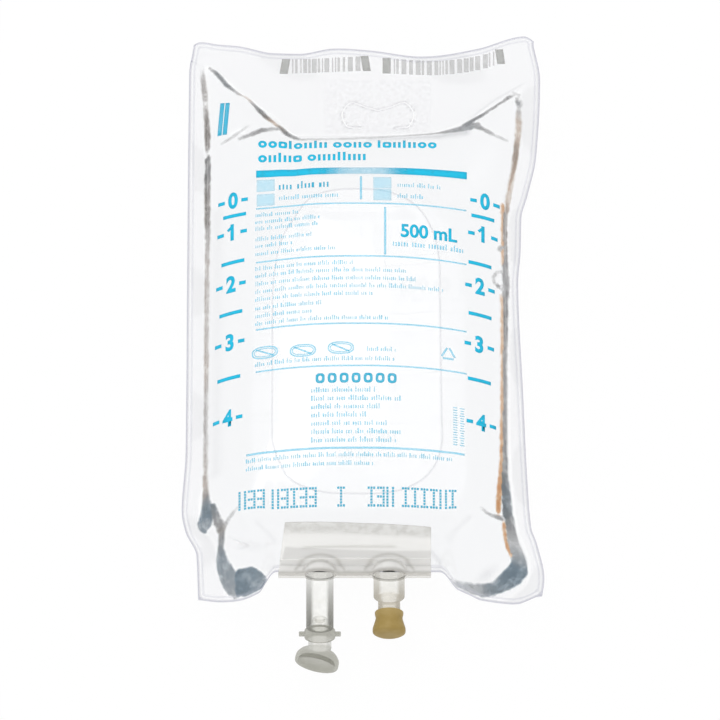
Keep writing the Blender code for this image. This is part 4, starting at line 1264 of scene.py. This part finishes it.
def numeral(form, text, x, y, size, bold=0.0, wide=1.0):
    """Plain figures centred at (x, y) in mm, from Blender's own font."""
    curve = bpy.data.curves.new("figures", "FONT")
    curve.body = text
    curve.size = size
    curve.offset = bold
    curve.align_x = "CENTER"
    curve.align_y = "CENTER"
    figures = bpy.data.objects.new("figures", curve)
    bpy.context.scene.collection.objects.link(figures)
    bpy.context.view_layer.update()
    depsgraph = bpy.context.evaluated_depsgraph_get()
    mesh = bpy.data.meshes.new_from_object(figures.evaluated_get(depsgraph))
    mesh.transform(Matrix.Translation((x, y, 0)) @ Matrix.Diagonal((wide, 1, 1, 1)))
    form.from_mesh(mesh)
    bpy.data.objects.remove(figures)
    bpy.data.meshes.remove(mesh)


def draped(name, form, finish, fade=None):
    """Lays a flat drawing in mm on the front sheet and gives the ink its thickness."""
    for vert in form.verts:
        vert.co = (vert.co.x / 1000, vert.co.y / 1000, 0)
    x, y = np.array([vert.co[:2] for vert in form.verts]).T
    stretch = slope(x, y, front_rise)[2]
    z = weld_height(x, y) + WELD_GAP / 2 + front_rise(x, y) + (FILM_THICKNESS + INK_GAP) * stretch
    for vert, height in zip(form.verts, z):
        vert.co.z = height
    made = finished(name, form, finish)
    for polygon in made.data.polygons:
        if polygon.normal.z < 0:
            polygon.flip()
    if fade:
        attribute(made, "fade", fade(x * 1000, y * 1000))
    skin = made.modifiers.new("ink", "SOLIDIFY")
    skin.thickness = INK_THICKNESS
    skin.offset = 1
    baked(made)
    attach(made, "bag")


def ink(name, colour, cover):
    """Ink that covers the film by this share, a little less in specks, and less where fade says so."""
    made, tree = new_material(name)
    solid = node(
        tree, "ShaderNodeBsdfPrincipled", Base_Color=(*colour, 1), Roughness=0.6, Specular_IOR_Level=0.2,
    )
    gone = node(tree, "ShaderNodeBsdfTransparent")
    share = smooth_step(tree, noise(tree, 450.0, 2.0), 0.30, 0.50, cover * 0.85, cover)
    share = maths(tree, "MULTIPLY", share, rest_of(tree, field(tree, "fade")))
    surface(tree, mixed(tree, share, gone, solid))
    return made


cyan_ink = ink("cyan_ink", CYAN, 1.0)
light_ink = ink("light_cyan_ink", CYAN, 0.72)
pale_ink = ink("pale_cyan_ink", PALE_CYAN, 0.38)
faint_ink = ink("faint_cyan_ink", PALE_CYAN, 0.21)
chance = random.Random(5)

SCALE_LEFT = ((-46.8, 43.4), (-47.1, 30.8), (-47.5, 10.6), (-47.9, -11.8), (-48.6, -41.0))
SCALE_RIGHT = ((45.0, 43.6), (44.2, 30.3), (43.1, 9.6), (42.8, -13.0), (43.5, -43.1))
TICKS_LEFT = ((-46.2, 37.6), (-46.8, 19.3), (-47.5, -0.3), (-48.2, -25.3))
TICKS_RIGHT = ((44.2, 37.4), (43.1, 18.6), (43.1, -1.2), (42.8, -26.6))
form = bmesh.new()
for marks in (SCALE_LEFT, SCALE_RIGHT):
    for number, (x, y) in enumerate(marks):
        numeral(form, str(number), x, y, 8.4, bold=0.36, wide=0.80)
        if number == 1:
            bar(form, x - 0.8, y + 1.9, 2.2, 1.0, turn=0.75)
        for side in (-1, 1):
            bar(form, x + side * 4.2, y, 2.4, 1.4)
for marks in (TICKS_LEFT, TICKS_RIGHT):
    for x, y in marks:
        bar(form, x, y, 8.4, 1.4)
draped("filling_scale", form, cyan_ink)


HEADING_BAR_Y = 53.2
TITLE_Y = 66.6
HEADING_BAR_LEFT = -37.2
HEADING_BAR_PIECES = 32
PIECE_WIDTH = 2.4


def washed_out(x, y):
    """A painted highlight pales the heading's bar in its middle, and the title's first row is paler at its
    top.
    """
    # Painted highlight: the bar's ink pales in its middle.
    in_bar = (np.abs(y - HEADING_BAR_Y) < 2.5) * np.exp(-(((x - 1) / 13) ** 4))
    return 0.72 * in_bar + 0.4 * ease((y - 66.5) / 2.5)


form = bmesh.new()
for k in range(HEADING_BAR_PIECES):
    bar(form, HEADING_BAR_LEFT + PIECE_WIDTH * k, HEADING_BAR_Y, PIECE_WIDTH, 3.0)
bmesh.ops.remove_doubles(form, verts=form.verts, dist=0.01)
shapes(form, LABEL_LEFT + 0.8, 25.5, TITLE_Y, chance)
shapes(form, LABEL_LEFT + 0.8, 0.0, 60.2, chance)
numeral(form, "500 mL", 24.4, 27.6, 7.2, bold=0.22, wide=0.94)
draped("label_heading", form, cyan_ink, fade=washed_out)

form = bmesh.new()
for y in (38.8, 17.3, -8.8, -25.1):
    bar(form, -0.1, y, LABEL_RIGHT - LABEL_LEFT, 0.6)
bar(form, -2.2, -56.6, 79.2, 0.8)
bar(form, -0.2, 45.5, 0.8, 10.2)
bar(form, 8.6, 27.6, 0.8, 19.4)
draped("label_rules", form, pale_ink)

form = bmesh.new()
for x, y in ((-34.9, 48.2), (-34.9, 42.2), (7.6, 47.8), (7.6, 42.6)):
    bar(form, x, y, 6.6, 5.0)
draped("label_squares", form, faint_ink)

form = bmesh.new()
ticks(form, -29.8, -12.2, 47.6, 3.2, chance)
for x in np.arange(-15.0, 13, 4.35):
    ring_of(form, x, -29.8, 3.3, 3.9, 1.0, corner=0.7)
draped("label_names", form, light_ink)

form = bmesh.new()
small_print = [(LABEL_LEFT, right, y, 1.7) for y, right in SMALL_ROWS]
address = [(ADDRESS_LEFT, right, y, 2.0) for y, right in ADDRESS_ROWS]
for row in (*FIRST_ROWS, *small_print, *address, *LAST_ROWS):
    ticks(form, *row, chance)
for k in range(COMB_TEETH):
    y = COMB_TOP - COMB_PITCH * k
    bar(form, 34.0, y, 1.5, 0.4)
    bar(form, 36.5, y, 1.2 + 0.5 * (k % 3 == 0), 0.4)
draped("label_small_print", form, pale_ink)

form = bmesh.new()
for x, y in ((-35.1, -18.0), (-21.3, -18.7), (-7.5, -18.2)):
    ring_of(form, x, y, 9.6, 4.9, 0.5, corner=0.8)
    ring_of(form, x, y, 8.0, 3.4, 0.35, corner=0.8)
    bar(form, x, y, 7.0, 0.6, turn=-0.42)
for k in range(3):
    a = math.pi / 2 + k * 2 * math.pi / 3
    bar(form, 31.5 - 1.6 * math.cos(a), -18.8 - 1.6 * math.sin(a), 4.0, 0.75, turn=a + math.pi / 2)
draped("label_symbols", form, pale_ink)

form = bmesh.new()
for x in (-51.3, -49.4):
    bar(form, x, 77.9, 1.6, 13.4, turn=0.02, slant=0.10)
draped("double_bar", form, light_ink)

# Groups of dotted figures in random order, which say nothing. Each is two uprights, or an upright
# with three arms to its left, or an upright with a bar across its foot and its top.
DOT = 0.78
DOT_PITCH = 0.98
DOT_ROWS = 7
DOTTED_FOOT = -76.6
FIGURE_PITCH = 3.4
FIGURE_GROUPS = ((-43.2, 3), (-31.2, 5), (-7.4, 1), (3.6, 3), (16.0, 6))
form = bmesh.new()
full = (-1.0, 0.0, 1.0)
for first, count in FIGURE_GROUPS:
    for k in range(count):
        x = first + FIGURE_PITCH * k
        kind = chance.randint(0, 2)
        for j in range(DOT_ROWS):
            spots = ((-1.0, 1.0), full if j % 3 == 0 else (1.0,), (0.0,) if j % 6 else full)
            for dx in spots[kind]:
                bar(form, x + dx, DOTTED_FOOT + DOT_PITCH * j, DOT, DOT)
draped("dotted_marks", form, light_ink)


# The middle of the bar pattern along the head weld: (x, y) in mm.
WELD_LINE = ((-30, 100.8), (-15, 101.3), (3, 101.7), (10, 100.7), (24, 100.1), (36, 101.2), (52, 104.9))


def weld_line(x):
    return through(WELD_LINE, x)


form = bmesh.new()
ends = bmesh.new()
for left, right, slant in ((-29.6, 3.0, 0.16), (7.6, 52.2, 0.0)):
    bar(ends, left + 1.6, weld_line(left + 1.6), 3.0, 5.9, slant=slant)
    bar(ends, right - 1.5, weld_line(right - 1.5), 2.9, 5.8, slant=-slant if slant else -0.14)
    x = left + 4.2
    while x < right - 4.0:
        width = chance.choice((0.5, 0.9, 1.4, 1.8))
        bar(form, x + width / 2, weld_line(x), width, 5.6)
        x += width + chance.choice((0.4, 0.6, 1.0))
draped("bar_pattern", form, ink("pale_grey_ink", (0.30, 0.30, 0.29), 0.24))
draped("bar_ends", ends, ink("grey_ink", (0.31, 0.315, 0.29), 0.42))
